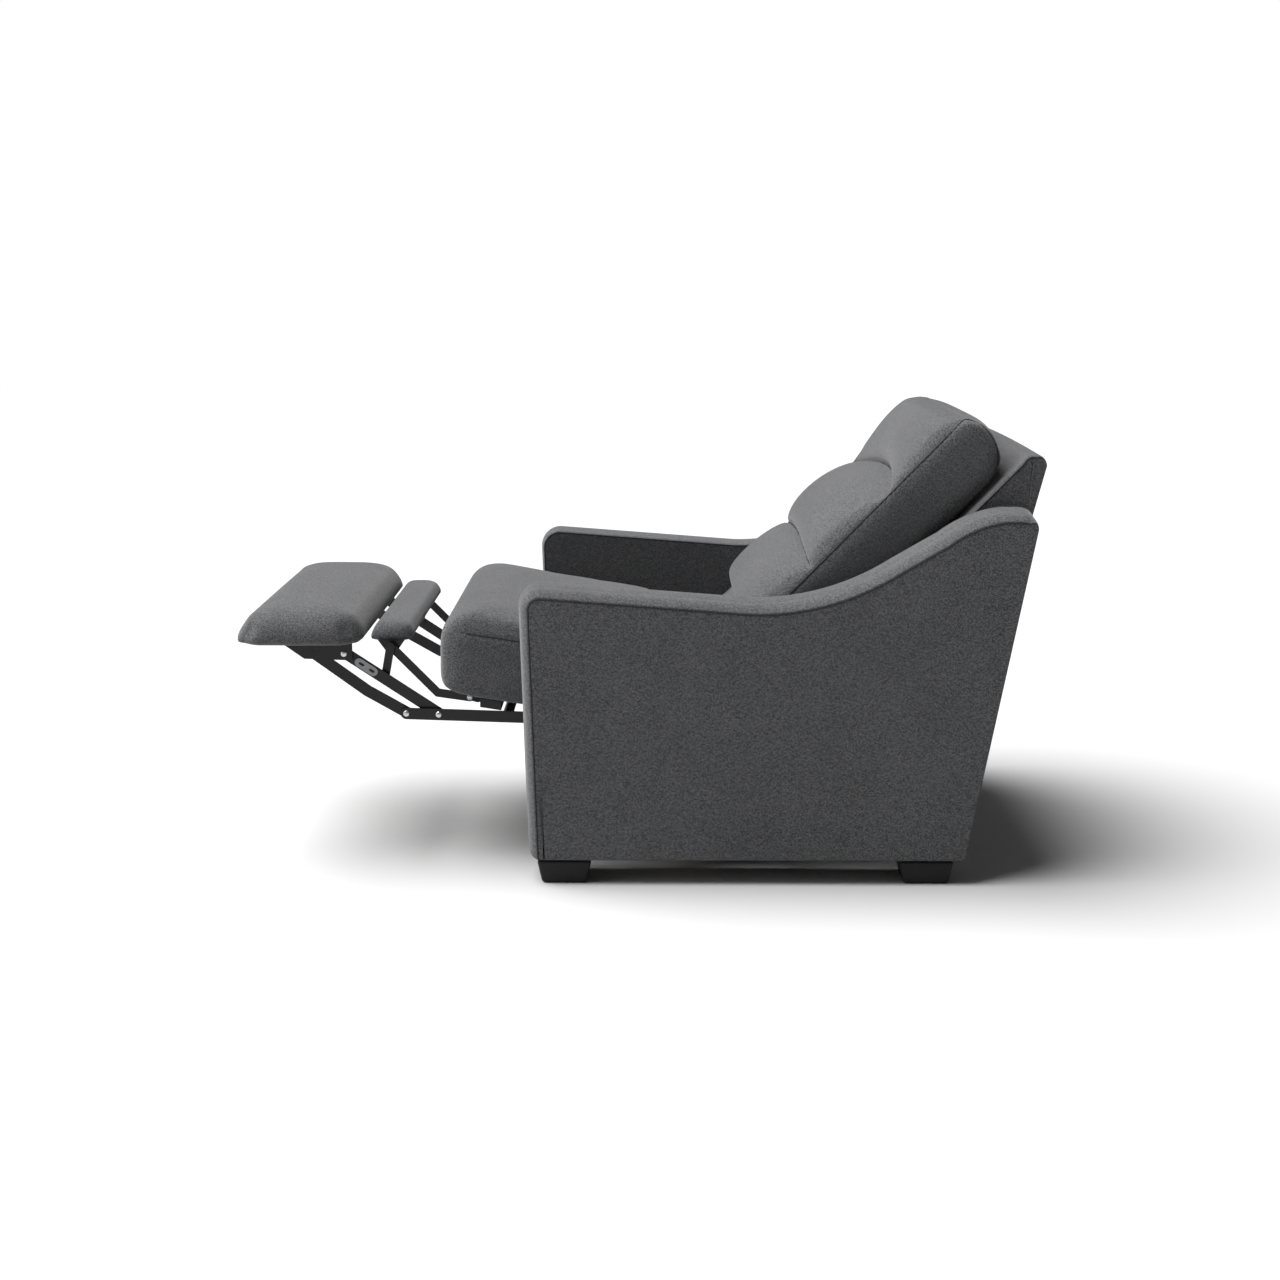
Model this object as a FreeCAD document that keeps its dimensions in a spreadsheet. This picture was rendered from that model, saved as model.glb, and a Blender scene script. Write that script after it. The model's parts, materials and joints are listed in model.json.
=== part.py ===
"""Push-back recliner armchair, drawn fully reclined with its footrest out.

Millimetres.  +X is the sitter's left, the chair faces -Y and +Z is up.  The origin is on the
floor, midway between the arms and midway along the opened chair.  Side-view points are (Y, Z).
Every moving side piece is made twice, on the left and mirrored on the right.
"""
import FreeCAD, Part
import math
import os
import re
import Sketcher
from FreeCAD import Placement, Rotation, Vector

DOC = FreeCAD.newDocument("recliner")
SHEET = DOC.addObject("Spreadsheet::Sheet", "Sizes")

SIZES = [
    # name, value, what it measures
    ("arm_gap", 325.0, "half the clear width between the arms"),
    ("arm_width", 100.0, "thickness of one arm"),
    ("arm_front", -210.0, "Y of the arm's front at its top"),
    ("arm_toe", -196.0, "Y of the arm's front at its foot"),
    ("arm_heel", 620.0, "Y of the arm's rear at its foot"),
    ("arm_tail", 732.0, "Y of the arm's rear at its top"),
    ("arm_low", 533.0, "height of the dip in the armrest"),
    ("arm_dip", 214.0, "Y of the dip in the armrest"),
    ("arm_fore", 562.0, "height of the armrest at its front"),
    ("arm_rise", 607.0, "height half way up the armrest's sweep"),
    ("arm_rise_at", 476.0, "Y half way up the armrest's sweep"),
    ("arm_crest", 702.0, "height of the armrest's rear crest"),
    ("arm_crest_at", 669.0, "Y where the rear crest starts"),
    ("arm_round", 38.0, "radius of the armrest's front corner"),
    ("sweep_round", 456.0, "radius of the hollow in the armrest"),
    ("crest_round", 230.0, "radius of the crown before the crest"),
    ("tail_round", 30.0, "radius of the arm's top rear corner"),
    ("pad_skin", 14.0, "padding and cover over the wooden arm frame"),
    ("foot_tall", 46.0, "height of a foot"),
    ("foot_inset", 5.0, "how far a foot stands in from each side of its arm"),
    ("foot_long", 102.0, "length of a foot along the arm"),
    ("foot_draft", 9.0, "taper of a foot on each side"),
    ("front_foot", 65.0, "distance from the arm's toe back to the front feet's middle"),
    ("rear_foot", 72.0, "distance from the arm's heel forward to the rear feet's middle"),
    ("rail_thick", 24.0, "thickness of the low cross rails"),
    ("rail_deep", 60.0, "depth of the low cross rails"),
    ("front_rail", 316.0, "distance from the arm's toe back to the front cross rail's rear face"),
    ("rear_rail", 95.0, "distance from the arm's heel forward to the rear cross rail's front face"),
    ("back_lean", 44.0, "lean of the reclined back from upright, in degrees"),
    ("back_slab", 125.0, "thickness of the back cushion at its side panel"),
    ("back_side", 14.0, "gap between the back cushion and an arm"),
    ("back_foot_y", 292.0, "Y of a point on the back cushion's front seam"),
    ("back_foot_z", 538.0, "height of that point"),
    ("back_top", 864.0, "height of the back cushion's top front edge"),
    ("pillow_deep", 58.0, "how far the three pillows stand proud"),
    ("low_crease", 0.152, "lower crease as a share of the way up the back's front seam"),
    ("high_crease", 0.618, "upper crease as a share of the way up the back's front seam"),
    ("board_thick", 18.0, "thickness of the plywood boards"),
    ("shell_top", 797.0, "height of the fixed outer back"),
    ("shell_rear", 760.0, "Y of the outer back's rear at its top"),
    ("shell_low", 640.0, "height where the padded top of the outer back ends"),
    ("shell_gap", 8.0, "gap between the reclined cushion and the outer back"),
    ("panel_thick", 18.0, "thickness of the rear panel"),
    ("seat_front", -362.0, "Y of the seat cushion's front face"),
    ("seat_edge", 333.0, "height of the seat cushion's underside at its front"),
    ("seat_edge_at", -313.0, "Y of that edge"),
    ("seat_slope", 9.0, "fall of the seat towards the back, in degrees"),
    ("seat_side", 14.0, "gap between the seat cushion and an arm"),
    ("seat_top", 488.0, "height of the seat cushion's front edge"),
    ("seat_end", 203.0, "Y of the seat cushion's rear end"),
    ("swing_long", 140.0, "length of a swing link between its pivots"),
    ("swing_lean", 23.5, "forward lean of the swing links at rest, in degrees"),
    ("swing_y", 300.0, "Y of the rear swing link's lower pivot"),
    ("swing_top", 213.389, "height of the rear swing link's upper pivot"),
    ("swing_span", 299.0, "distance forward to the front swing link"),
    ("swing_step", 42.0, "rise to the front swing link"),
    ("back_hinge_y", 320.0, "Y of the backrest's hinge"),
    ("back_hinge_z", 335.0, "height of the backrest's hinge"),
    ("drive_y", -180.0, "Y of the drive link's pivot on the seat"),
    ("drive_z", 290.0, "height of the drive link's pivot on the seat"),
    ("drive_long", 257.0, "length of the drive link to its outer pin"),
    ("drive_short", 195.0, "length of the drive link to its inner pin"),
    ("drive_rise", 1.8, "rise of the drive link towards the front, in degrees"),
    ("upper_y", -553.0, "Y of the upper link's pivot on the footrest"),
    ("upper_z", 415.0, "height of the upper link's pivot on the footrest"),
    ("flap_arm_y", -317.0, "Y of the flap arm's pivot on the seat"),
    ("flap_arm_z", 324.0, "height of the flap arm's pivot on the seat"),
    ("flap_y", -467.0, "Y of the flap's pivot rod"),
    ("flap_z", 424.0, "height of the flap's pivot rod"),
    ("link_half", 11.0, "half the width of a link"),
    ("link_thick", 4.0, "thickness of a link"),
    ("plate_thick", 3.0, "thickness of the side plates and brackets"),
    ("pin_round", 5.0, "radius of a pivot pin"),
    ("pin_play", 0.05, "radial clearance of a pin in its hole"),
    ("tube_round", 10.0, "radius of the cross tubes"),
    ("rest_out", -760.0, "Y of the footrest pad's outer end"),
    ("rest_in", -515.0, "Y of the footrest pad's inner end"),
    ("rest_under", 438.0, "height of the footrest pad's underside"),
    ("rest_thick", 54.0, "thickness of the footrest pad"),
    ("rest_side", 12.0, "gap between the footrest pad and an arm, seen from the front"),
    ("flap_out", -511.0, "Y of the flap's outer end"),
    ("flap_in", -425.0, "Y of the flap's inner end"),
    ("flap_under", 435.0, "height of the flap's underside"),
    ("flap_thick", 26.0, "thickness of the flap with its pad"),
    ("flap_side", 75.0, "gap between the flap and an arm, seen from the front"),
    ("spring_wire", 2.0, "radius of the spring wire"),
    ("spring_reach", 22.0, "half the straight run of a spring's waves"),
    ("spring_pitch", 25.0, "pitch of a spring's waves"),
]
NAMES = set()
for line, (name, number, words) in enumerate(SIZES, start=1):
    SHEET.set("A%d" % line, name)
    SHEET.set("B%d" % line, str(number))
    SHEET.set("C%d" % line, words)
    SHEET.setAlias("B%d" % line, name)
    NAMES.add(name)
DOC.recompute()

NODES = {}


def bound(text):
    """The expression with every size name pointing at the sheet."""

    def pointed(match):
        word = match.group(0)
        return "Sizes." + word if word in NAMES else word

    return re.sub(r"[a-z][a-z_]+", pointed, str(text))


def value(text):
    """The number an expression has now."""
    result = SHEET.evalExpression(bound(text))
    return float(getattr(result, "Value", result))


def add(*terms):
    return "(" + " + ".join("(%s)" % term for term in terms) + ")"


def less(first, second):
    return "((%s) - (%s))" % (first, second)


def bind(thing, **sizes):
    for path, text in sizes.items():
        thing.setExpression(path.replace("_", "."), bound(text))
    return thing


def put(thing, spot):
    """Bind a Placement's base to three expressions."""
    return bind(thing, Placement_Base_x=spot[0], Placement_Base_y=spot[1], Placement_Base_z=spot[2])


def block(name, low, size):
    box = DOC.addObject("Part::Box", name)
    return put(bind(box, Length=size[0], Width=size[1], Height=size[2]), low)


def rod(name, start, radius, length):
    """A cylinder along +X from its start point."""
    bar = DOC.addObject("Part::Cylinder", name)
    bar.Placement = Placement(Vector(0, 0, 0), Rotation(Vector(0, 1, 0), 90))
    return put(bind(bar, Radius=radius, Height=length), start)


def join(name, pieces):
    if len(pieces) == 1:
        pieces[0].Label = name
        return pieces[0]
    whole = DOC.addObject("Part::MultiFuse", name)
    whole.Shapes = pieces
    return whole


def carve(name, base, tools):
    if not tools:
        return base
    result = DOC.addObject("Part::Cut", name)
    result.Base = base
    result.Tool = join(name + "_holes", tools)
    return result


def node(name, thing):
    thing.Label = name
    NODES[name] = thing
    return thing


def outline(name, low_x, width, corners):
    """A body padded along +X from a side view.

    Each corner is (Y, Z) or (Y, Z, radius): with a radius, an arc of that size runs on to the
    next corner, turning left round the outline if the radius is positive.
    """
    body = DOC.addObject("PartDesign::Body", name)
    plane = next(part for part in body.Origin.OriginFeatures if part.Role == "YZ_Plane")
    sketch = body.newObject("Sketcher::SketchObject", name + "_sketch")
    sketch.AttachmentSupport = [(plane, "")]
    sketch.MapMode = "FlatFace"
    spots = [Vector(value(corner[0]), value(corner[1]), 0) for corner in corners]
    count = len(corners)
    for index, corner in enumerate(corners):
        start, end = spots[index], spots[(index + 1) % count]
        if len(corner) == 3:
            radius = value(corner[2])
            chord = end.sub(start)
            side = Vector(-chord.y, chord.x, 0).normalize() * math.copysign(1.0, radius)
            depth = math.sqrt(max(radius ** 2 - (chord.Length / 2) ** 2, 0.0))
            middle = (start + end) * 0.5
            centre = middle + side * depth
            crown = centre + (middle - centre).normalize() * abs(radius)
            sketch.addGeometry(Part.Arc(start, crown, end), False)
        else:
            sketch.addGeometry(Part.LineSegment(start, end), False)

    def tail(index):
        """The vertex number of a line's or arc's start, as the outline runs."""
        corner = corners[index % count]
        return 2 if len(corner) == 3 and value(corner[2]) < 0 else 1

    for index, corner in enumerate(corners):
        head = 3 - tail(index)
        following = (index + 1) % count
        sketch.addConstraint(Sketcher.Constraint("Coincident", index, head, following, tail(following)))
        here = spots[index]
        for kind, text, number in (("DistanceX", corner[0], here.x), ("DistanceY", corner[1], here.y)):
            place = sketch.addConstraint(Sketcher.Constraint(kind, -1, 1, index, tail(index), number))
            sketch.setExpression("Constraints[%d]" % place, bound(text))
        if len(corner) == 3:
            place = sketch.addConstraint(Sketcher.Constraint("Radius", index, abs(value(corner[2]))))
            sketch.setExpression("Constraints[%d]" % place, bound("abs(%s)" % corner[2]))
    pad = body.newObject("PartDesign::Pad", name + "_pad")
    pad.Profile = sketch
    pad.setExpression("Length", bound(width))
    bind(body, Placement_Base_x=low_x)
    return body


def strip(name, low_x, thick, start, end, half):
    """A flat bar between two side-view points, with square ends at the points."""
    across, up = less(end[0], start[0]), less(end[1], start[1])
    reach = "sqrt(%s^2 + %s^2)" % (across, up)
    bar = DOC.addObject("Part::Box", name)
    bar.Placement = Placement(Vector(0, 0, 0), Rotation(Vector(1, 0, 0), 10))
    bind(bar, Length=thick, Width=reach, Height="2 * (%s)" % half)
    bar.setExpression("Placement.Rotation.Angle", bound("atan2(%s; %s)" % (up, across)))
    return put(bar, (low_x,
                     "%s + (%s) * %s / %s" % (start[0], half, up, reach),
                     "%s - (%s) * %s / %s" % (start[1], half, across, reach)))


def link(name, low_x, thick, route, half="link_half", holes=(), pins=(), extra=()):
    """A flat link along a route of points, with round ends, pin holes and fixed pins.

    A pin is (point, low X, length), and it carries a rivet head when a fourth value gives the
    head's own low X.
    """
    solids = [strip("%s_bar%d" % (name, n), low_x, thick, start, end, half)
              for n, (start, end) in enumerate(zip(route, route[1:]))]
    solids += [rod("%s_end%d" % (name, n), (low_x,) + spot, half, thick) for n, spot in enumerate(route)]
    for n, pin in enumerate(pins):
        solids.append(rod("%s_pin%d" % (name, n), (pin[1],) + pin[0], "pin_round", pin[2]))
        if len(pin) == 4:
            solids.append(rod("%s_head%d" % (name, n), (pin[3],) + pin[0], "pin_round * 1.7", "2.5"))
    solids += list(extra)
    whole = join(name + "_solid", solids)
    through = add(thick, "2")
    cuts = [rod("%s_hole%d" % (name, n), (add(low_x, "-1"),) + spot, "pin_round + pin_play", through)
            for n, spot in enumerate(holes)]
    return carve(name + "_link", whole, cuts)


def mirrored(name, source):
    other = DOC.addObject("Part::Mirroring", name)
    other.Source = source
    other.Normal = (1, 0, 0)
    other.Base = (0, 0, 0)
    return node(name, other)


def pair(stem, thing):
    """The left piece and its mirror image on the right."""
    node(stem + "_left", thing)
    mirrored(stem + "_right", thing)


# ---- shared points of the side view ---------------------------------------------------------
SWING_SIN = "swing_long * sin(swing_lean * 1deg)"
SWING_COS = "swing_long * cos(swing_lean * 1deg)"
SWING_Z = "(swing_top - %s)" % SWING_COS
REAR_BASE = ("swing_y", SWING_Z)
REAR_TOP = ("(swing_y - %s)" % SWING_SIN, "swing_top")
FRONT_BASE = ("(swing_y - swing_span)", "(%s + swing_step)" % SWING_Z)
FRONT_TOP = ("(swing_y - swing_span - %s)" % SWING_SIN, "(swing_top + swing_step)")
BACK_HINGE = ("back_hinge_y", "back_hinge_z")
DRIVE = ("drive_y", "drive_z")
DRIVE_COS = "cos(drive_rise * 1deg)"
DRIVE_SIN = "sin(drive_rise * 1deg)"


def on_drive(distance):
    """A point along the drive link."""
    return ("(drive_y - (%s) * %s)" % (distance, DRIVE_COS),
            "(drive_z + (%s) * %s)" % (distance, DRIVE_SIN))


INNER = on_drive("drive_short")
OUTER = on_drive("drive_long")
UPPER = ("upper_y", "upper_z")
LOWER = ("(upper_y - (drive_long - drive_short) * %s)" % DRIVE_COS,
         "(upper_z + (drive_long - drive_short) * %s)" % DRIVE_SIN)
FLAP_ARM = ("flap_arm_y", "flap_arm_z")
FLAP = ("flap_y", "flap_z")
# the strut's foot lies this share of the way up the upper link
STRUT_SHARE = "0.58"
STRUT_FOOT = ("(%s + %s * %s)" % (INNER[0], STRUT_SHARE, less(UPPER[0], INNER[0])),
              "(%s + %s * %s)" % (INNER[1], STRUT_SHARE, less(UPPER[1], INNER[1])))

# ---- layers across the chair, counted from the middle ---------------------------------------
BACK_HALF = "(arm_gap - back_side)"
SEAT_HALF = "(arm_gap - seat_side)"
REST_HALF = "(arm_gap - rest_side)"
FLAP_HALF = "(arm_gap - flap_side)"
BASE_X = "(arm_gap - plate_thick - 1.5)"
SWING_X = "(arm_gap - plate_thick - 21)"
SEAT_X = "(%s - plate_thick - 2)" % SWING_X
DRIVE_X = "(%s - link_thick - 4)" % SEAT_X
UPPER_X = "(%s - link_thick - 4)" % DRIVE_X
STRUT_X = "(%s - link_thick - 6)" % UPPER_X
FLAP_ARM_X = "(%s - link_thick - 4)" % STRUT_X
FLAP_LUG_X = "(%s - link_thick - 4)" % FLAP_ARM_X


# ---- fixed chair: arms, outer back, rails, feet ---------------------------------------------
def arm_corners(inset):
    """The arm's side view, drawn in by a margin; the armrest's rounds follow it."""
    return [
        (add("arm_toe", inset), add("foot_tall", "0")),
        (less("arm_heel", inset), add("foot_tall", "0")),
        (less("arm_tail", inset), less("arm_crest - tail_round", inset), add("tail_round", "0")),
        (less("arm_tail - tail_round", inset), less("arm_crest", inset)),
        (add("arm_crest_at", "0"), less("arm_crest", inset), add("crest_round", "0")),
        (add("arm_crest_at - 109", "0"), less("arm_rise + 49", inset)),
        (add("arm_rise_at", "0"), less("arm_rise", inset), less("0", "sweep_round")),
        (add("arm_dip", "0"), less("arm_low", inset)),
        (add("arm_front + arm_round", inset), less("arm_fore", inset), add("arm_round", "0")),
        (add("arm_front", inset), less("arm_fore - arm_round", inset)),
    ]


def build_arms():
    """Each arm is a wooden panel inside a padded cover that is open at the bottom."""
    frame_x = "arm_gap + (arm_width - arm_width * 0.4) / 2"
    frame = outline("arm_frame", frame_x, "arm_width * 0.4", arm_corners("pad_skin"))
    whole = outline("arm_whole", "arm_gap", "arm_width", arm_corners("0"))
    space = outline("arm_space", frame_x, "arm_width * 0.4", arm_corners("pad_skin"))
    pair("arm_frame", frame)
    pair("arm_cover", carve("arm_cover_cut", whole, [space]))


def build_feet():
    """Four tapered block feet under the ends of the arms."""
    for end, spot in (("front", "arm_toe + front_foot"), ("rear", "arm_heel - rear_foot")):
        foot = DOC.addObject("Part::Wedge", "foot_" + end)
        half_x, half_y = "(arm_width / 2 - foot_inset)", "(foot_long / 2)"
        bind(foot, Xmin="-(%s - foot_draft)" % half_x, Xmax="%s - foot_draft" % half_x,
             Zmin="-(%s - foot_draft)" % half_y, Zmax="%s - foot_draft" % half_y,
             X2min="-(%s)" % half_x, X2max=half_x, Z2min="-(%s)" % half_y, Z2max=half_y,
             Ymin="0", Ymax="foot_tall")
        foot.Placement = Placement(Vector(0, 0, 0), Rotation(Vector(1, 0, 0), 90))
        put(foot, ("arm_gap + arm_width / 2", spot, "0"))
        pair("foot_" + end, foot)


SHELL_SLOPE = "((arm_tail - arm_heel) / (arm_crest - tail_round - foot_tall))"


def shell_y(height, inset="0"):
    """Y of the chair's sloping rear face at a height."""
    return "(arm_heel + (%s - foot_tall) * %s - (%s))" % (height, SHELL_SLOPE, inset)


BACK_TAN = "tan(back_lean * 1deg)"
BACK_COS = "cos(back_lean * 1deg)"
BACK_SIN = "sin(back_lean * 1deg)"


def slab_y(height, depth="0"):
    """Y of a plane parallel to the back cushion's front seam, at a height and a depth behind it."""
    return "(back_foot_y + (%s) / %s + ((%s) - back_foot_z) * %s)" % (depth, BACK_COS, height, BACK_TAN)


def build_outer_back():
    """The fixed outer back: a padded top with a wooden rail through it over a rear panel."""
    behind = "back_slab + shell_gap"
    half = "arm_gap - 0.4"
    low_x, width = "-(%s)" % half, "2 * (%s)" % half
    top = outline("back_top", low_x, width, [
        (shell_y("shell_low"), "shell_low"),
        (add("shell_rear", "0"), add("shell_top - 20", "0"), add("22", "0")),
        (add("shell_rear - 14", "0"), add("shell_top", "0")),
        (add(slab_y("shell_top - 12", behind), "12"), add("shell_top", "0"), add("30", "0")),
        (slab_y("shell_top - 14", behind), add("shell_top - 14", "0")),
        (slab_y("shell_low", behind), "shell_low"),
    ])
    rail_low = (low_x, add(shell_y("shell_low"), "-62"), "shell_low + 6")
    rail_size = (width, "40", "50")
    node("back_top_rail", block("back_rail", rail_low, rail_size))
    rail_space = block("back_rail_space", rail_low, rail_size)
    node("back_top_pad", carve("back_top_cut", top, [rail_space]))
    bottom = "foot_tall + 6"
    node("back_panel", outline("back_panel", low_x, width, [
        (shell_y(bottom, "panel_thick"), bottom),
        (shell_y(bottom), bottom),
        (shell_y("shell_low"), "shell_low"),
        (shell_y("shell_low", "panel_thick"), "shell_low"),
    ]))


def build_base():
    """Two low cross rails, and the mechanism's base plates on the arms' inner faces."""
    for end, half, rear_y in (("front", "(%s - 0.1)" % BASE_X, "arm_toe + front_rail - rail_deep"),
                              ("rear", "(arm_gap - 0.1)", "arm_heel - rear_rail")):
        node("base_rail_" + end, block("rail_" + end, ("-" + half, rear_y, "foot_tall"),
                                       ("2 * " + half, "rail_deep", "rail_thick")))
    margin = "24"
    plate = outline("base_sheet", BASE_X, "plate_thick + 1", [
        (less(FRONT_BASE[0], margin), "foot_tall + 2"),
        (add(REAR_BASE[0], margin), "foot_tall + 2"),
        (add(REAR_BASE[0], margin), add(REAR_BASE[1], margin)),
        (less(FRONT_BASE[0], margin), add(FRONT_BASE[1], margin)),
    ])
    reach = "(%s - %s + 2)" % (BASE_X, SWING_X)
    start = "(%s - 1)" % SWING_X
    pins = []
    for end, spot in (("front", FRONT_BASE), ("rear", REAR_BASE)):
        pins.append(rod("base_pin_" + end, (start,) + spot, "pin_round", reach))
        pins.append(rod("base_boss_" + end, ("%s + link_thick + 0.5" % SWING_X,) + spot, "pin_round + 4",
                        "(%s - %s - link_thick - 0.4)" % (BASE_X, SWING_X)))
    pair("base_plate", join("base_plate_solid", [plate] + pins))


# ---- swing links and seat -------------------------------------------------------------------
def build_swings():
    """Front and rear pairs of links that carry the seat, each pair joined by a tube."""
    for end, foot, head in (("rear", REAR_BASE, REAR_TOP), ("front", FRONT_BASE, FRONT_TOP)):
        pair(end + "_swing", link(end + "_swing", SWING_X, "link_thick", [foot, head], "link_half + 2",
                                  [foot, head]))
        middle = ("(%s + %s) / 2" % (foot[0], head[0]), "(%s + %s) / 2" % (foot[1], head[1]))
        node(end + "_swing_tube", rod(end + "_tube", ("-(%s)" % SWING_X,) + middle, "tube_round",
                                      "2 * %s" % SWING_X))


def seat_under(y, drop="0"):
    """Height of the seat cushion's sloping underside at a Y."""
    return "(seat_edge - ((%s) - seat_edge_at) * tan(seat_slope * 1deg) - (%s))" % (y, drop)


def build_seat():
    """Side plates, cross rails, wave springs and the cushion."""
    sheet = outline("seat_sheet", SEAT_X, "plate_thick", [
        (less(DRIVE[0], "24"), less(DRIVE[1], "18")),
        (less(FRONT_TOP[0], "14"), less(FRONT_TOP[1], "20")),
        (less(REAR_TOP[0], "14"), less(REAR_TOP[1], "20")),
        (add(REAR_TOP[0], "30"), less(REAR_TOP[1], "20")),
        (add(BACK_HINGE[0], "18"), less(BACK_HINGE[1], "20")),
        (add(BACK_HINGE[0], "14"), add(BACK_HINGE[1], "14")),
        (less(BACK_HINGE[0], "14"), add(BACK_HINGE[1], "14")),
        (less(BACK_HINGE[0], "60"), seat_under(less(BACK_HINGE[0], "60"), "7")),
        (less(DRIVE[0], "24"), seat_under(less(DRIVE[0], "24"), "7")),
    ])
    pins = []
    outward = "(%s - %s + link_thick + 1)" % (SWING_X, SEAT_X)
    inward = "(%s - %s + plate_thick + 1)" % (SEAT_X, DRIVE_X)
    for end, spot in (("front", FRONT_TOP), ("rear", REAR_TOP)):
        pins.append(rod("seat_pin_" + end, (SEAT_X,) + spot, "pin_round", outward))
    for end, spot in (("drive", DRIVE), ("back", BACK_HINGE)):
        pins.append(rod("seat_pin_" + end, ("%s - 1" % DRIVE_X,) + spot, "pin_round", inward))
        pins.append(rod("seat_cap_" + end, ("%s - 3" % DRIVE_X,) + spot, "pin_round * 1.7", "2.5"))
    pair("seat_plate", join("seat_plate_solid", [sheet] + pins))

    rail_half = "(%s - 0.2)" % SEAT_X
    front_low, front_size = "flap_arm_y + 22", "40"
    node("seat_rail_front", outline("seat_rail_front", "-%s" % rail_half, "2 * %s" % rail_half, [
        (front_low, seat_under(front_low, "18")),
        (add(front_low, front_size), seat_under(add(front_low, front_size), "18")),
        (add(front_low, front_size), seat_under(add(front_low, front_size), "1")),
        (front_low, seat_under(front_low, "1")),
    ]))
    rear_low, rear_size = "(%s - 60)" % REAR_TOP[0], "30"
    node("seat_rail_rear", outline("seat_rail_rear", "-%s" % rail_half, "2 * %s" % rail_half, [
        (rear_low, seat_under(rear_low, "24")),
        (add(rear_low, rear_size), seat_under(add(rear_low, rear_size), "24")),
        (add(rear_low, rear_size), seat_under(add(rear_low, rear_size), "1")),
        (rear_low, seat_under(rear_low, "1")),
    ]))
    lug_root = "(%s - 8)" % front_low
    lug_route = [FLAP_ARM, (lug_root, seat_under(lug_root, "11"))]
    lug = link("flap_lug", FLAP_LUG_X, "link_thick", lug_route, "8", [],
               [(FLAP_ARM, FLAP_LUG_X, "link_thick * 2 + 5")])
    pair("flap_lug", lug)
    for number, share in enumerate((-0.72, -0.24, 0.24, 0.72), start=1):
        build_spring("seat_spring_%d" % number, share, value(add(front_low, front_size, "spring_wire")),
                     value(less(rear_low, "spring_wire")))

    crown, dip = "seat_top", "(seat_end - 86)"
    node("seat_cushion", outline("seat_cushion", "-" + SEAT_HALF, "2 * " + SEAT_HALF, [
        ("seat_edge_at", seat_under("seat_edge_at")),
        ("seat_end", seat_under("seat_end")),
        ("seat_end", seat_under("seat_end", "-86")),
        (dip, seat_under(dip, "-92")),
        (less(dip, "16"), seat_under(less(dip, "16"), "-150")),
        ("seat_front + 45", add(crown, "0"), add("48", "0")),
        ("seat_front", less(crown, "46")),
        ("seat_front", "seat_edge + 34", add("40", "0")),
        ("seat_front + 16", "seat_edge + 8"),
    ]))


def build_spring(name, share, front_y, rear_y):
    """A wave spring of round wire, hooked between the front and rear seat rails."""
    wire, reach, pitch = value("spring_wire"), value("spring_reach"), value("spring_pitch")
    slope = math.radians(value("seat_slope"))
    middle = share * value("arm_gap - 50")
    start = Vector(middle - reach, front_y, value(seat_under(str(front_y), "8")))
    length = (rear_y - front_y) / math.cos(slope)
    along = Vector(0, math.cos(slope), -math.sin(slope))
    waves = int(length // pitch)
    step = length / waves
    radius = step / 2
    edges = [Part.LineSegment(start, start + Vector(2 * reach, 0, 0)).toShape()]
    here, side = start + Vector(2 * reach, 0, 0), 1
    for _ in range(waves):
        crown = here + along * radius + Vector(side * radius, 0, 0)
        turn = here + along * step
        edges.append(Part.Arc(here, crown, turn).toShape())
        here = turn + Vector(-side * 2 * reach, 0, 0)
        edges.append(Part.LineSegment(turn, here).toShape())
        side = -side
    path = Part.Wire(edges)
    ring = Part.Wire(Part.makeCircle(wire, start, Vector(1, 0, 0)))
    spring = DOC.addObject("Part::Feature", name)
    spring.Shape = path.makePipeShell([ring], True, True)
    spring.Placement = Placement()
    node(name, spring)


# ---- backrest -------------------------------------------------------------------------------
def slab_point(along, depth):
    """A point on the back cushion's side view.

    along runs up the lean from the front seam's lower point, depth goes in behind the seam.
    """
    return ("(back_foot_y + (%s) * %s + (%s) * %s)" % (along, BACK_SIN, depth, BACK_COS),
            "(back_foot_z + (%s) * %s - (%s) * %s)" % (along, BACK_COS, depth, BACK_SIN))


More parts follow.
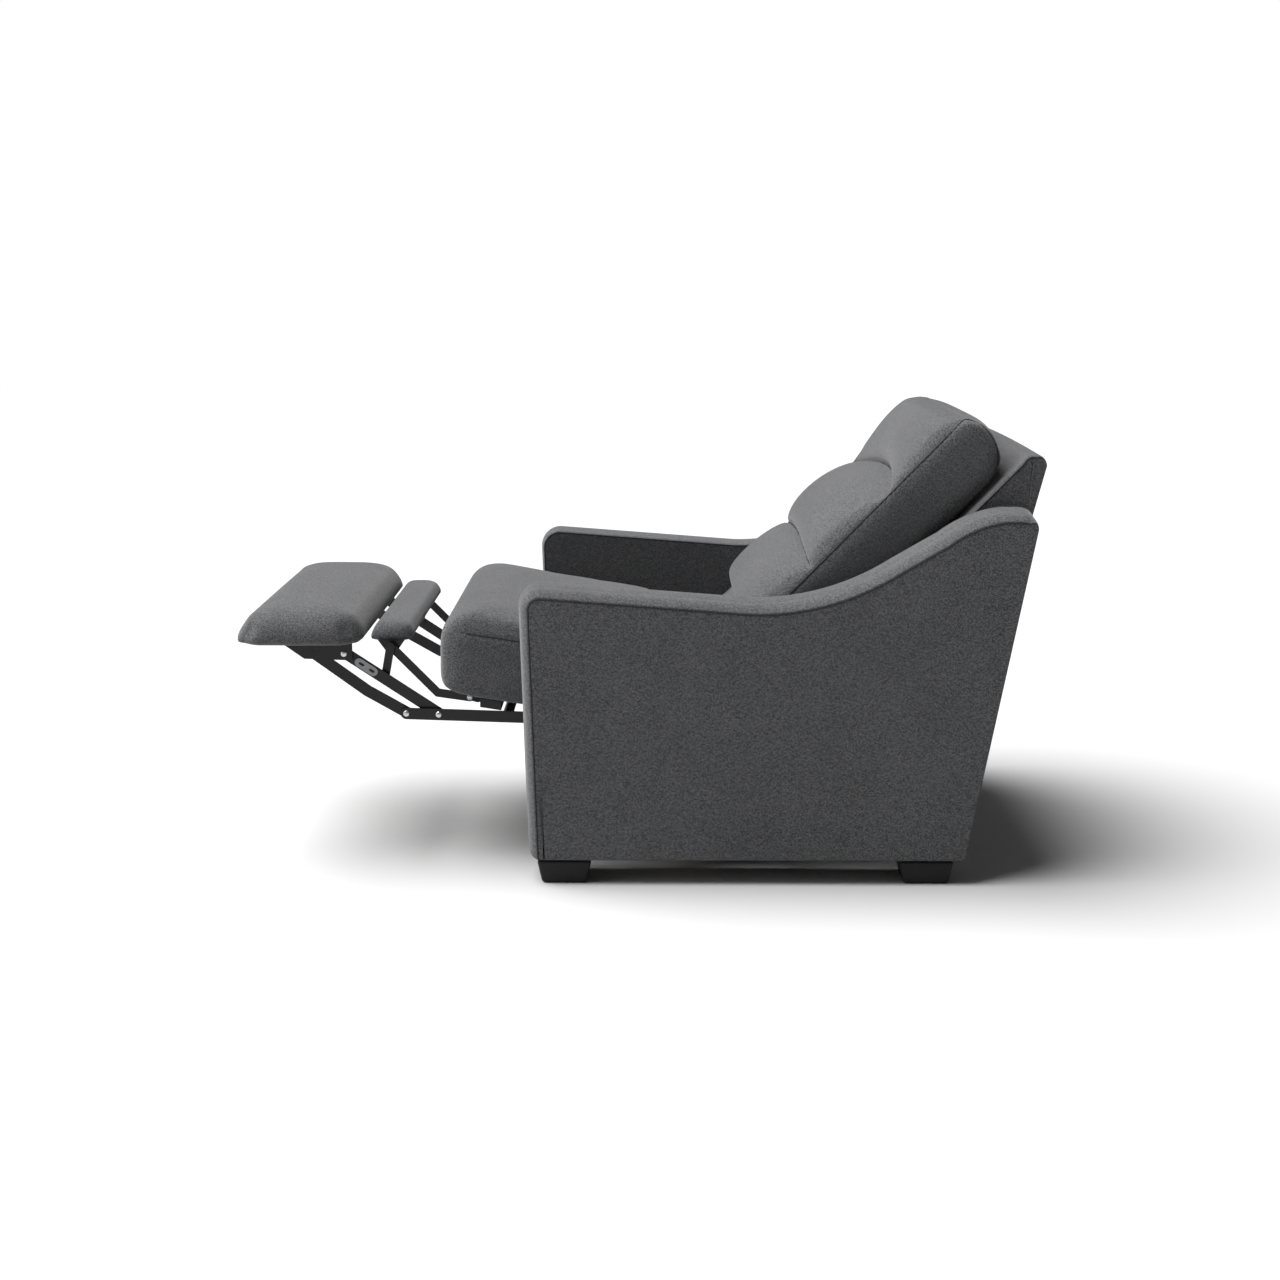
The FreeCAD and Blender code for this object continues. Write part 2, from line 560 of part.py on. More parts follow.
def build_backrest():
    """A plywood board on two hinge brackets, the boxed cushion and its three pillows."""
    long = "((back_top - back_foot_z) / %s)" % BACK_COS
    foot = "-112"
    slab = outline("back_slab_solid", "-" + BACK_HALF, "2 * " + BACK_HALF, [
        slab_point(foot, "0"),
        slab_point("-70", "back_slab - 30"),
        slab_point("-40", "back_slab"),
        slab_point("%s - 62" % long, "back_slab") + ("75",),
        slab_point("%s + 2" % long, "back_slab - 28") + ("90",),
        slab_point("%s + 18" % long, "46") + ("60",),
        slab_point("%s + 8" % long, "10"),
        slab_point(long, "0"),
    ])
    board_x = "(%s - 1)" % DRIVE_X
    board_low, board_high = "-34", "%s - 84" % long
    recess_half = "(%s + link_thick + 2)" % DRIVE_X
    recess = outline("back_recess", "-" + recess_half, "2 * " + recess_half, [
        slab_point("-90", "back_slab - board_thick - 1"),
        slab_point("-90", "back_slab + 5"),
        slab_point(add(board_high, "1"), "back_slab + 5"),
        slab_point(add(board_high, "1"), "back_slab - board_thick - 1"),
    ])
    node("back_cushion", carve("back_cushion_cut", slab, [recess]))
    node("back_board", outline("back_board", "-%s" % board_x, "2 * %s" % board_x, [
        slab_point(board_low, "back_slab - board_thick"),
        slab_point(board_low, "back_slab - 1"),
        slab_point(board_high, "back_slab - 1"),
        slab_point(board_high, "back_slab - board_thick"),
    ]))
    low_hold = slab_point("6", "back_slab - board_thick + 6")
    high_hold = slab_point("120", "back_slab - board_thick + 6")
    eye = rod("back_eye", (DRIVE_X,) + BACK_HINGE, "13", "link_thick")
    pair("back_bracket", link("back_bracket", DRIVE_X, "link_thick", [BACK_HINGE, low_hold, high_hold],
                              "6", [BACK_HINGE], extra=[eye]))
    low_fold, high_fold = "low_crease * " + long, "high_crease * " + long
    pillow_half = "(%s - 16)" % BACK_HALF
    folds = ["-104", low_fold, high_fold, long + " - 4"]
    for name, low, high in zip(("lower", "middle", "upper"), folds, folds[1:]):
        bottom, top = add(low, "1"), less(high, "1")
        shoulder = "0.28 * " + less(top, bottom)
        node("pillow_" + name, outline("pillow_" + name, "-" + pillow_half, "2 * " + pillow_half, [
            slab_point(bottom, "-0.3"),
            slab_point(top, "-0.3"),
            slab_point(top, "-pillow_deep * 0.35") + ("75",),
            slab_point(less(top, shoulder), "-pillow_deep"),
            slab_point(add(bottom, shoulder), "-pillow_deep") + ("75",),
            slab_point(bottom, "-pillow_deep * 0.35"),
        ]))


# ---- footrest -------------------------------------------------------------------------------
def build_footrest():
    """Drive links with a cross tube, upper and lower links, and the padded board."""
    through = "(%s - %s + link_thick + 1)" % (DRIVE_X, UPPER_X)
    start, head = "(%s - 1)" % UPPER_X, "(%s - 3)" % UPPER_X
    pair("drive_link", link("drive_link", DRIVE_X, "link_thick", [DRIVE, INNER, OUTER], "link_half", [DRIVE],
                            [(INNER, start, through, head), (OUTER, start, through, head)]))
    middle = on_drive("drive_short * 0.33")
    node("drive_tube", rod("drive_tube", ("-%s" % DRIVE_X,) + middle, "tube_round", "2 * %s" % DRIVE_X))
    stud = "(%s - %s - link_thick - 1)" % (UPPER_X, STRUT_X)
    pair("upper_link", link("upper_link", UPPER_X, "link_thick", [INNER, UPPER], "link_half", [INNER, UPPER],
                            [(STRUT_FOOT, "(%s - %s)" % (UPPER_X, stud), "(%s + 1)" % stud)]))
    bend = ("(%s + 0.42 * %s)" % (OUTER[0], less(LOWER[0], OUTER[0])),
            "(%s + 0.42 * %s - 7)" % (OUTER[1], less(LOWER[1], OUTER[1])))
    pair("lower_link", link("lower_link", UPPER_X, "link_thick", [OUTER, bend, LOWER], "link_half",
                            [OUTER, LOWER]))

    board_low = add("rest_in", "-30")
    under = "rest_under"
    pad_x = "-" + REST_HALF
    pad = outline("rest_pad_solid", pad_x, "2 * " + REST_HALF, [
        ("rest_out + 18", under),
        ("rest_in - 12", under, "14"),
        ("rest_in", add(under, "14")),
        ("rest_in", add(under, "rest_thick - 22"), "22"),
        ("rest_in - 20", add(under, "rest_thick")),
        ("rest_out + 30", add(under, "rest_thick"), "32"),
        ("rest_out", add(under, "rest_thick - 28")),
        ("rest_out", add(under, "16"), "18"),
    ])
    board = (("-" + DRIVE_X, "rest_out + 45", under),
             ("2 * " + DRIVE_X, less(board_low, "rest_out + 45"), "12"))
    node("rest_board", block("rest_board", *board))
    node("rest_pad", carve("rest_pad_cut", pad, [block("rest_board_space", *board)]))
    ear = "(%s + 16)" % UPPER[0]
    sheet = outline("rest_ear", DRIVE_X, "plate_thick", [
        (less(LOWER[0], "14"), less(LOWER[1], "12")),
        (ear, less(UPPER[1], "13")),
        (ear, less(under, "0.2")),
        (less(LOWER[0], "60"), less(under, "0.2")),
    ])
    flange = block("rest_flange", ("%s - 22" % DRIVE_X, less(LOWER[0], "60"), less(under, "3.2")),
                   ("23", "(%s - %s)" % (ear, less(LOWER[0], "60")), "3"))
    pins = []
    for end, spot in (("upper", UPPER), ("lower", LOWER)):
        pins.append(rod("rest_pin_" + end, (start,) + spot, "pin_round", through))
        pins.append(rod("rest_head_" + end, (head,) + spot, "pin_round * 1.7", "2.5"))
    pair("rest_bracket", join("rest_bracket_solid", [sheet, flange] + pins))


def build_flap():
    """The small flap between seat and footrest, its arms, pivot rod and struts."""
    elbow = ("flap_arm_y - 62", "flap_arm_z + 9")
    pair("flap_arm", link("flap_arm", FLAP_ARM_X, "link_thick", [FLAP_ARM, elbow, FLAP], "8", [FLAP_ARM]))
    rod_half = "(%s + link_thick + 1)" % STRUT_X
    rod_solid = rod("flap_rod_bar", ("-%s" % rod_half,) + FLAP, "pin_round - 0.5", "2 * %s" % rod_half)
    node("flap_rod", rod_solid)
    pair("flap_strut", link("flap_strut", STRUT_X, "link_thick", [STRUT_FOOT, FLAP], "8"))
    pair("flap_bracket", outline("flap_ear", FLAP_LUG_X, "plate_thick", [
        ("flap_y - 12", "flap_z - 9"),
        ("flap_y + 12", "flap_z - 9"),
        ("flap_y + 26", "flap_under - 0.2"),
        ("flap_y - 26", "flap_under - 0.2"),
    ]))
    board = (("-(%s - 14)" % FLAP_HALF, "flap_out + 10", "flap_under"),
             ("2 * (%s - 14)" % FLAP_HALF, "flap_in - flap_out - 20", "9"))
    node("flap_board", block("flap_board", *board))
    pad = outline("flap_pad_solid", "-" + FLAP_HALF, "2 * " + FLAP_HALF, [
        ("flap_out + 8", "flap_under"),
        ("flap_in - 8", "flap_under", "9"),
        ("flap_in", "flap_under + 8"),
        ("flap_in", "flap_under + flap_thick - 11", "12"),
        ("flap_in - 11", "flap_under + flap_thick"),
        ("flap_out + 11", "flap_under + flap_thick", "12"),
        ("flap_out", "flap_under + flap_thick - 11"),
        ("flap_out", "flap_under + 8", "9"),
    ])
    node("flap_pad", carve("flap_pad_cut", pad, [block("flap_board_space", *board)]))


def drill(name, spots, radius):
    """Drill cross holes through a finished pair."""
    left = NODES[name + "_left"]
    cuts = [rod("%s_bore%d" % (name, n), ("0",) + spot, radius, "arm_gap") for n, spot in enumerate(spots)]
    pair(name, carve(name + "_drilled", left, cuts))


build_arms()
build_feet()
build_outer_back()
build_base()
build_swings()
build_seat()
build_backrest()
build_footrest()
build_flap()
drill("flap_arm", [FLAP], "pin_round - 0.5")
drill("flap_strut", [FLAP], "pin_round - 0.5 + pin_play")
drill("flap_bracket", [FLAP], "pin_round - 0.5 + pin_play")
DOC.recompute()

faults = [thing.Name for thing in DOC.Objects if "Invalid" in thing.State or "Error" in thing.State]
if faults:
    raise RuntimeError("these objects failed: " + ", ".join(faults))
os.makedirs("parts", exist_ok=True)
for name, thing in sorted(NODES.items()):
    shape = thing.Shape
    if shape.isNull() or not shape.isValid() or len(shape.Solids) != 1:
        raise RuntimeError("%s is not one valid solid (%d)" % (name, len(shape.Solids)))
for name, thing in sorted(NODES.items()):
    thing.Shape.exportStep("parts/%s.step" % name)
print("%d sub-parts written" % len(NODES))
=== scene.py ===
"""Push-back recliner armchair, finished for rendering.

Metres.  +X is the sitter's left, the chair faces -Y and +Z is up.  Every piece is placed by the
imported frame, and its object stays at the origin.  Side-view points are (Y, Z).
"""

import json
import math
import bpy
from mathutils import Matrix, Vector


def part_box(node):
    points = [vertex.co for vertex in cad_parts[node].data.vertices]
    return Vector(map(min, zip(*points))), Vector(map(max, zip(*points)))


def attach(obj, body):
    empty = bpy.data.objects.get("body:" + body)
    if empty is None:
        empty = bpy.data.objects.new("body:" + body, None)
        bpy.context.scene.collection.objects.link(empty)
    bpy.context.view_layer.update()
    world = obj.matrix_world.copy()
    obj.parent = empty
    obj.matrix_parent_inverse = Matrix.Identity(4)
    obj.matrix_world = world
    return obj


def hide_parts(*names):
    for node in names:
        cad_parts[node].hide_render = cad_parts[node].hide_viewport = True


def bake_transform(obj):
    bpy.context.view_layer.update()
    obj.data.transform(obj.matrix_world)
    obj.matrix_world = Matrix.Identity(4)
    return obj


bl_info = {
    "name": "Recliner Armchair",
    "version": (1, 0, 0),
    "blender": (4, 5, 0),
    "location": "3D View > Sidebar > Recliner",
    "description": "Upholstery, mechanism finishes and studio for a recliner armchair",
    "category": "Add Mesh",
}

import bmesh
import bpy
import numpy as np
from mathutils import Matrix, Vector
from mathutils.bvhtree import BVHTree

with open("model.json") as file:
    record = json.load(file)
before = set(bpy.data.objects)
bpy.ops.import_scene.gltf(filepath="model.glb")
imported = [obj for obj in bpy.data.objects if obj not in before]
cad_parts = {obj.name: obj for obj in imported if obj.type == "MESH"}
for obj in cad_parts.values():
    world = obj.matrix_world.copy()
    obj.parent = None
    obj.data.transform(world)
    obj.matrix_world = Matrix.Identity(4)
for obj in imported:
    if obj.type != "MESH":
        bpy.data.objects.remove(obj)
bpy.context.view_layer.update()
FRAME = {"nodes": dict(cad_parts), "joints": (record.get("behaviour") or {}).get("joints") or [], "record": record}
SIDES = {"left": 1.0, "right": -1.0}


# ---- sizes and colours ----------------------------------------------------------------------
def length(name, words, default):
    return bpy.props.FloatProperty(name=name, description=words, default=default, min=0.0, unit="LENGTH",
                                   subtype="DISTANCE", precision=4)


def number(name, words, default):
    return bpy.props.FloatProperty(name=name, description=words, default=default, min=0.0)


def colour(name, words, default):
    return bpy.props.FloatVectorProperty(name=name, description=words, default=default, size=3,
                                         min=0.0, max=1.0, subtype="COLOR")


class ReclinerSizes(bpy.types.PropertyGroup):
    """Sizes of the upholstery and of the small hardware."""

    arm_roll: length("Outer arm roll", "How far the armrest falls to its outer seam", 0.017)
    arm_edge: length("Inner arm edge", "How far the armrest falls to its inner seam", 0.004)
    arm_crown: length("Armrest crown", "How far the armrest stands up in its middle", 0.004)
    corner: length("Panel corner", "Radius of the sharp corners of the padded panels", 0.014)
    seam_deep: length("Seam depth", "Depth of the groove along a seam", 0.0016)
    seam_thread: length("Seam thread", "Radius of the line of thread in a seam", 0.0011)
    pillow_swell: length("Pillow swell", "How far the middle pillow stands out of its side seams", 0.052)
    cloth_grid: length("Cloth grid", "Spacing of the cloth's grid on the large cushions", 0.006)
    rivet: length("Rivet head", "Radius of a rivet's head", 0.0062)
    weave: length("Weave pitch", "Pitch of the cover's threads", 0.0021)


class ReclinerColours(bpy.types.PropertyGroup):
    """Colours of the cover, the steel, the timber and the feet."""

    yarn_dark: colour("Dark yarn", "The cover's darker yarn", (0.031, 0.0315, 0.033))
    yarn_light: colour("Light yarn", "The cover's lighter yarn", (0.112, 0.113, 0.117))
    thread: colour("Thread", "Thread and shadow of the seams", (0.022, 0.022, 0.024))
    paint: colour("Paint", "Black paint on the mechanism", (0.006, 0.006, 0.0065))
    zinc: colour("Zinc", "Bright plating of the rivets and the adjuster", (0.62, 0.63, 0.65))
    timber: colour("Timber", "Rails and boards", (0.46, 0.31, 0.17))
    foot: colour("Feet", "Moulded feet", (0.007, 0.007, 0.0075))
    floor: colour("Floor", "Studio floor", (0.52, 0.52, 0.52))


def sizes():
    return bpy.context.scene.recliner_sizes


def colours():
    return bpy.context.scene.recliner_colours


# ---- node trees -----------------------------------------------------------------------------
class Wire:
    """A socket in a node tree that takes part in sums."""

    def __init__(self, graph, socket):
        self.graph = graph
        self.socket = socket

    def maths(self, operation, first, second=0.0):
        return self.graph.make("ShaderNodeMath", {"operation": operation}, {0: first, 1: second})

    def __add__(self, other):
        return self.maths("ADD", self, other)

    def __radd__(self, other):
        return self.maths("ADD", other, self)

    def __sub__(self, other):
        return self.maths("SUBTRACT", self, other)

    def __rsub__(self, other):
        return self.maths("SUBTRACT", other, self)

    def __mul__(self, other):
        return self.maths("MULTIPLY", self, other)

    def __rmul__(self, other):
        return self.maths("MULTIPLY", other, self)

    def __pow__(self, other):
        return self.maths("POWER", self, other)

    def __abs__(self):
        return self.maths("ABSOLUTE", self)

    def sine(self):
        return self.maths("SINE", self)


class Graph:
    """A node tree.  make() adds a node with its settings first and then its sockets."""

    def __init__(self, tree):
        self.tree = tree
        tree.nodes.clear()

    def make(self, kind, settings=None, sockets=None, output=0):
        node = self.tree.nodes.new(kind)
        for key, value in (settings or {}).items():
            if key == "stops":
                for stop, (place, shade) in zip(node.color_ramp.elements, value):
                    stop.position = place
                    stop.color = (shade, shade, shade, 1.0)
            else:
                setattr(node, key, value)
        for key, value in (sockets or {}).items():
            if isinstance(value, Wire):
                self.tree.links.new(value.socket, node.inputs[key])
            else:
                node.inputs[key].default_value = value
        return Wire(self, node.outputs[output]) if node.outputs else None

    def blend(self, share, first, second):
        """A colour between two colours."""
        pair = [tuple(item) + (1.0,) if not isinstance(item, Wire) else item for item in (first, second)]
        return self.make("ShaderNodeMix", {"data_type": "RGBA"}, {0: share, 6: pair[0], 7: pair[1]}, 2)

    def stretched(self, place, scale):
        return self.make("ShaderNodeMapping", None, {"Vector": place, "Scale": scale})

    def noise(self, place, scale, detail, rough=0.5):
        return self.make("ShaderNodeTexNoise", None,
                         {"Vector": place, "Scale": scale, "Detail": detail, "Roughness": rough})

    def axes(self, vector):
        split = self.make("ShaderNodeSeparateXYZ", None, {0: vector}).socket.node
        return [Wire(self, socket) for socket in split.outputs]

    def finish(self, colour, fixed, rough, bump=None, strength=0.3, distance=0.0005):
        """The surface itself, with its fixed values on its own sockets."""
        sockets = {"Base Color": colour, "Roughness": rough}
        sockets.update(fixed)
        if bump is not None:
            sockets["Normal"] = self.make("ShaderNodeBump", None,
                                          {"Height": bump, "Strength": strength, "Distance": distance})
        surface = self.make("ShaderNodeBsdfPrincipled", None, sockets)
        self.make("ShaderNodeOutputMaterial", None, {0: surface})


def woven_cover(graph, place):
    """Heathered plain weave: two yarns cross, each with its own run of light and dark."""
    facing = graph.make("ShaderNodeTexCoord", output="Normal")
    turns = math.pi / sizes().weave
    wave = [(axis * turns).sine() for axis in graph.axes(place)]
    share = [abs(axis) ** 3.0 for axis in graph.axes(facing)]
    weave = share[0] * wave[1] * wave[2] + share[1] * wave[0] * wave[2] + share[2] * wave[0] * wave[1]
    weft = graph.noise(graph.stretched(place, (260.0, 260.0, 620.0)), 1.0, 1.0)
    warp = graph.noise(graph.stretched(place, (600.0, 600.0, 280.0)), 1.0, 1.0)
    flecks = graph.noise(place, 580.0, 1.0)
    clouds = graph.noise(place, 7.0, 3.0)
    yarns = 0.5 + (weft - 0.5) * 1.9 + (warp - 0.5) * 1.9
    tone = yarns + (flecks - 0.5) * 2.2 + (clouds - 0.5) * 0.35 + weave * 0.16
    mixed = graph.blend(tone, colours().yarn_dark, colours().yarn_light)
    height = weave * 0.5 + weft * 0.45 + warp * 0.45 + flecks * 0.5
    fixed = {"Specular IOR Level": 0.18, "Sheen Weight": 0.22, "Sheen Roughness": 0.45}
    graph.finish(mixed, fixed, 0.93, height, 0.55, 0.0007)


def seam_thread(graph, place):
    """Twisted dark thread, with the shadow of the seam in its colour."""
    twist = graph.noise(place, 1500.0, 1.0)
    dark = colours().thread
    shade = graph.blend(twist, [part * 0.6 for part in dark], [part * 1.6 for part in dark])
    graph.finish(shade, {"Specular IOR Level": 0.15}, 0.9, twist, 0.4, 0.0004)


def black_steel(graph, place):
    """Satin black paint on steel, with faint orange peel and rubbed spots."""
    peel = graph.noise(place, 420.0, 2.0)
    rubbed = graph.make("ShaderNodeValToRGB", {"stops": [(0.56, 0.0), (0.74, 1.0)]},
                        {0: graph.noise(graph.stretched(place, (60.0, 24.0, 60.0)), 1.0, 4.0, 0.65)})
    paint = colours().paint
    shade = graph.blend(rubbed * 0.5, paint, [part * 2.0 + 0.004 for part in paint])
    rough = 0.34 + rubbed * 0.16 + (peel - 0.5) * 0.12
    graph.finish(shade, {"Specular IOR Level": 0.3}, rough, peel, 0.12, 0.0004)


def plated(graph, place, share):
    """Plated steel with the faint cloudiness of the bath, at a share of the full brightness."""
    cloud = graph.noise(place, 260.0, 3.0)
    zinc = [part * share for part in colours().zinc]
    shade = graph.blend(cloud, [part * 0.72 for part in zinc], zinc)
    graph.finish(shade, {"Metallic": 1.0}, 0.24 + cloud * 0.2, cloud, 0.1, 0.0003)


def bright_zinc(graph, place):
    """The rivets' plating."""
    plated(graph, place, 1.0)


def dull_zinc(graph, place):
    """The adjusters' plating."""
    plated(graph, place, 0.35)


def oiled_wire(graph, place):
    """Drawn spring wire, dark with oil."""
    streak = graph.noise(graph.stretched(place, (500.0, 500.0, 500.0)), 1.0, 2.0)
    shade = graph.blend(streak, (0.13, 0.13, 0.135), (0.3, 0.3, 0.31))
    graph.finish(shade, {"Metallic": 1.0}, 0.3 + streak * 0.2, streak, 0.15, 0.0003)


def sawn_timber(graph, place):
    """Sawn timber whose grain runs across the chair."""
    rings = graph.noise(graph.stretched(place, (3.0, 42.0, 42.0)), 1.0, 4.0, 0.6)
    fibre = graph.noise(graph.stretched(place, (40.0, 900.0, 900.0)), 1.0, 2.0)
    timber = colours().timber
    shade = graph.blend(rings * 0.75 + fibre * 0.25, [part * 0.55 for part in timber],
                        [min(part * 1.25, 1.0) for part in timber])
    graph.finish(shade, {"Specular IOR Level": 0.3}, 0.72 + fibre * 0.12, fibre, 0.25, 0.0005)


def moulded_black(graph, place):
    """Matt black moulding with a fine spark-eroded grain."""
    grain = graph.noise(place, 1300.0, 1.0)
    scuff = graph.noise(place, 40.0, 4.0, 0.6)
    foot = colours().foot
    shade = graph.blend(scuff, foot, [part * 2.0 + 0.004 for part in foot])
    graph.finish(shade, {"Specular IOR Level": 0.25}, 0.55 + scuff * 0.2, grain, 0.25, 0.0003)


def studio_floor(graph, place):
    """Plain matt floor."""
    graph.finish((*colours().floor, 1.0), {"Specular IOR Level": 0.1}, 0.9)


FINISHES = {}


def finish_of(maker):
    """The material that a maker fills, made once and named after the maker."""
    name = maker.__name__
    if name not in FINISHES:
        FINISHES[name] = bpy.data.materials.new(name)
        FINISHES[name].use_nodes = True
        graph = Graph(FINISHES[name].node_tree)
        maker(graph, graph.make("ShaderNodeTexCoord", output="Object"))
    return FINISHES[name]


# ---- shapes ---------------------------------------------------------------------------------
DOWN = Vector((0.0, -1.0))
OUTLINE_STEP = 0.03


def smooth_step(value):
    value = np.clip(value, 0, 1)
    return value * value * (3 - 2 * value)


def edges_of(loop):
    """The pairs of points along a closed outline."""
    return list(zip(loop, loop[1:] + loop[:1]))


def mesh_of(shape, name):
    """The mesh that a bmesh becomes."""
    mesh = bpy.data.meshes.new(name)
    shape.to_mesh(mesh)
    shape.free()
    return mesh


def new_piece(name, mesh, maker, body):
    """A finished piece that rides on a body."""
    mesh.materials.clear()
    mesh.materials.append(finish_of(maker))
    piece = bpy.data.objects.new(name, mesh)
    bpy.context.scene.collection.objects.link(piece)
    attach(piece, body)
    return piece


def side_outline(node):
    """A node's side view, from its face furthest along +X, counter-clockwise in (Y, Z)."""
    mesh = FRAME["nodes"][node].data
    spots = [tuple(round(part, 5) for part in vertex.co) for vertex in mesh.vertices]
    edge_x = max(spot[0] for spot in spots)
    after = {}
    for face in mesh.polygons:
        ring = [spots[index] for index in face.vertices]
        if all(abs(spot[0] - edge_x) < 1e-4 for spot in ring):
            after.update(dict.fromkeys(edges_of(ring)))
    rim = {start: end for start, end in after if (end, start) not in after}
    loops = []
    while rim:
        start = here = next(iter(rim))
        loop = []
        while here in rim:
            loop.append(Vector(here[1:]))
            here = rim.pop(here)
        loops.append(loop)
    loop = max(loops, key=len)
    keep = []
    for index, here in enumerate(loop):
        before, following = loop[index - 1], loop[(index + 1) % len(loop)]
        if (here - before).length > 1e-5 and abs((here - before).angle_signed(following - here, 0.0)) > 0.004:
            keep.append(here)
    area = sum(a.x * b.y - b.x * a.y for a, b in edges_of(keep))
    return keep if area > 0 else keep[::-1]


def evened(loop, step):
    """The outline with its long edges divided."""
    points = []
    for start, end in edges_of(loop):
        parts = max(1, int((end - start).length / step))
        points += [start.lerp(end, part / parts) for part in range(parts)]
    return points


def eased(outward, way):
    """The share of a depth that an edge is drawn in by: a fifth where it faces the way given."""
    return 1.0 if way is None else 1.0 - 0.8 * float(smooth_step((outward.dot(way) + 0.1) / 0.5))


def drawn_in(loop, depth, corner, way=None):
    """The outline moved inwards by a depth, its sharp corners rounded by what is left of a radius."""
    points = []
    for index, here in enumerate(loop):
        first = (here - loop[index - 1]).normalized()
        second = (loop[(index + 1) % len(loop)] - here).normalized()
        inward, onward = Vector((-first.y, first.x)), Vector((-second.y, second.x))
        near, far = depth * eased(-inward, way), depth * eased(-onward, way)
        middle = (inward + onward).normalized()
        turn = math.atan2(first.x * second.y - first.y * second.x, first.dot(second))
        if turn > math.radians(28):
            lean = inward.dot(onward)
            share = (near - far * lean) / (1 - lean * lean), (far - near * lean) / (1 - lean * lean)
            radius = max(corner - (near + far) / 2, 0.0006)
            centre = here + inward * share[0] + onward * share[1] + middle * (radius / math.cos(turn / 2))
            for part in range(6):
                out = Matrix.Rotation(turn * part / 5, 2) @ (-inward)
                points.append(centre + out * radius)
        else:
            points.append(here + middle * ((near + far) / 2 / max(middle.dot(inward), 0.35)))
    return points


def seam_run(points, way):
    """The unbroken run of an outline's points that doesn't face the way given."""
    run = []
    for index, here in enumerate(points):
        step = points[(index + 1) % len(points)] - points[index - 1]
        if Vector((step.y, -step.x)).normalized().dot(way) < 0.12:
            run.append(here)
    start = max(range(len(run)), key=lambda index: (run[index] - run[index - 1]).length)
    return run[start:] + run[:start]


def prism(name, loop, rings, corner, way=None):
    """A closed solid through rings of one outline; a ring is (X, depth drawn in)."""
    shape = bmesh.new()
    floor = min(point.y for point in loop)
    last = None
    for place, depth in rings:
        spots = drawn_in(loop, depth, corner, way)
        ring = [shape.verts.new((place, point.x, max(point.y, floor))) for point in spots]
        if last:
            for index in range(len(ring)):
                following = (index + 1) % len(ring)
                shape.faces.new((last[index], last[following], ring[following], ring[index]))
        else:
            shape.faces.new(ring[::-1])
        last = ring
    shape.faces.new(last)
    bmesh.ops.triangulate(shape, faces=[face for face in shape.faces if len(face.verts) > 4])
    bmesh.ops.recalc_face_normals(shape, faces=shape.faces)
    mesh = mesh_of(shape, name)
    mesh.shade_smooth()
    return mesh


ROLL_TURN = math.radians(56)


def end_rings(face_x, way, roll, groove):
    """Rings from the flat end face over its seam and up the strip's shoulder to the full outline."""
    round_off = roll / (1 - math.cos(ROLL_TURN))
    rings = [(face_x, roll + 0.012), (face_x, roll + 0.004), (face_x - way * 0.0002, roll + 0.0016)]
    rings.append((face_x - way * groove, roll + 0.0002))
    for part in range(8):
        angle = ROLL_TURN * (1 - part / 7)
        run = round_off * (math.sin(ROLL_TURN) - math.sin(angle))
        rings.append((face_x - way * run, round_off * (1 - math.cos(angle))))
    return rings


def crowned_rings(low_x, high_x, low_roll, high_roll, crown, groove):
    """Rings from one end face to the other, with the strip between the edges crowned."""
    left = end_rings(low_x, -1.0, low_roll, groove)
    right = end_rings(high_x, 1.0, high_roll, groove)
    run = math.sin(ROLL_TURN) / (1 - math.cos(ROLL_TURN))
    start, stop = low_x + low_roll * run, high_x - high_roll * run
    middle = []
    for part in range(1, 12):
        share = part / 12
        middle.append((start + (stop - start) * share, -crown * (1 - (2 * share - 1) ** 2)))
    return left + middle + right[::-1]


def new_group(name, source, lengths, result):
    """A geometry-nodes group with a source, named lengths and a finish: its tree, graph and inputs."""
    tree = bpy.data.node_groups.new(name, "GeometryNodeTree")
    face = tree.interface
    face.new_socket(source, in_out="INPUT", socket_type="NodeSocketGeometry")
    for key, value in lengths.items():
        face.new_socket(key, in_out="INPUT", socket_type="NodeSocketFloat").default_value = value
    face.new_socket("Finish", in_out="INPUT", socket_type="NodeSocketMaterial")
    face.new_socket(result, in_out="OUTPUT", socket_type="NodeSocketGeometry")
    graph = Graph(tree)
    given = graph.make("NodeGroupInput").socket.node
    return tree, graph, {key: Wire(graph, given.outputs[key]) for key in (source, *lengths, "Finish")}


def close_group(graph, shape, given):
    """Give the shape its finish and send it out of the group."""
    done = graph.make("GeometryNodeSetMaterial", None, {"Geometry": shape, "Material": given["Finish"]})
    graph.make("NodeGroupOutput", None, {0: done})


def thread_tree():
    """Geometry nodes that run a thread along curves."""
    name = "seam thread"
    if name in bpy.data.node_groups:
        return bpy.data.node_groups[name]
    tree, graph, given = new_group(name, "Curves", {"Thread Radius": 0.001}, "Thread")
    section = graph.make("GeometryNodeCurvePrimitiveCircle", None,
                         {"Resolution": 6, "Radius": given["Thread Radius"]})
    tube = graph.make("GeometryNodeCurveToMesh", None,
                      {"Curve": given["Curves"], "Profile Curve": section, "Fill Caps": True})
    close_group(graph, graph.make("GeometryNodeRealizeInstances", None, {0: tube}), given)
    return tree


def baked(piece, tree, values):
    """Run geometry nodes on a piece, with inputs set by name, and give the plain mesh."""
    modifier = piece.modifiers.new("nodes", "NODES")
    modifier.node_group = tree
    for item in tree.interface.items_tree:
        if item.in_out == "INPUT" and item.name in values:
            modifier[item.identifier] = values[item.name]
    bpy.context.view_layer.update()
    graph = bpy.context.evaluated_depsgraph_get()
    mesh = bpy.data.meshes.new_from_object(piece.evaluated_get(graph), depsgraph=graph)
    data = piece.data
    bpy.data.objects.remove(piece)
    if isinstance(data, bpy.types.Curve):
        bpy.data.curves.remove(data)
    return mesh


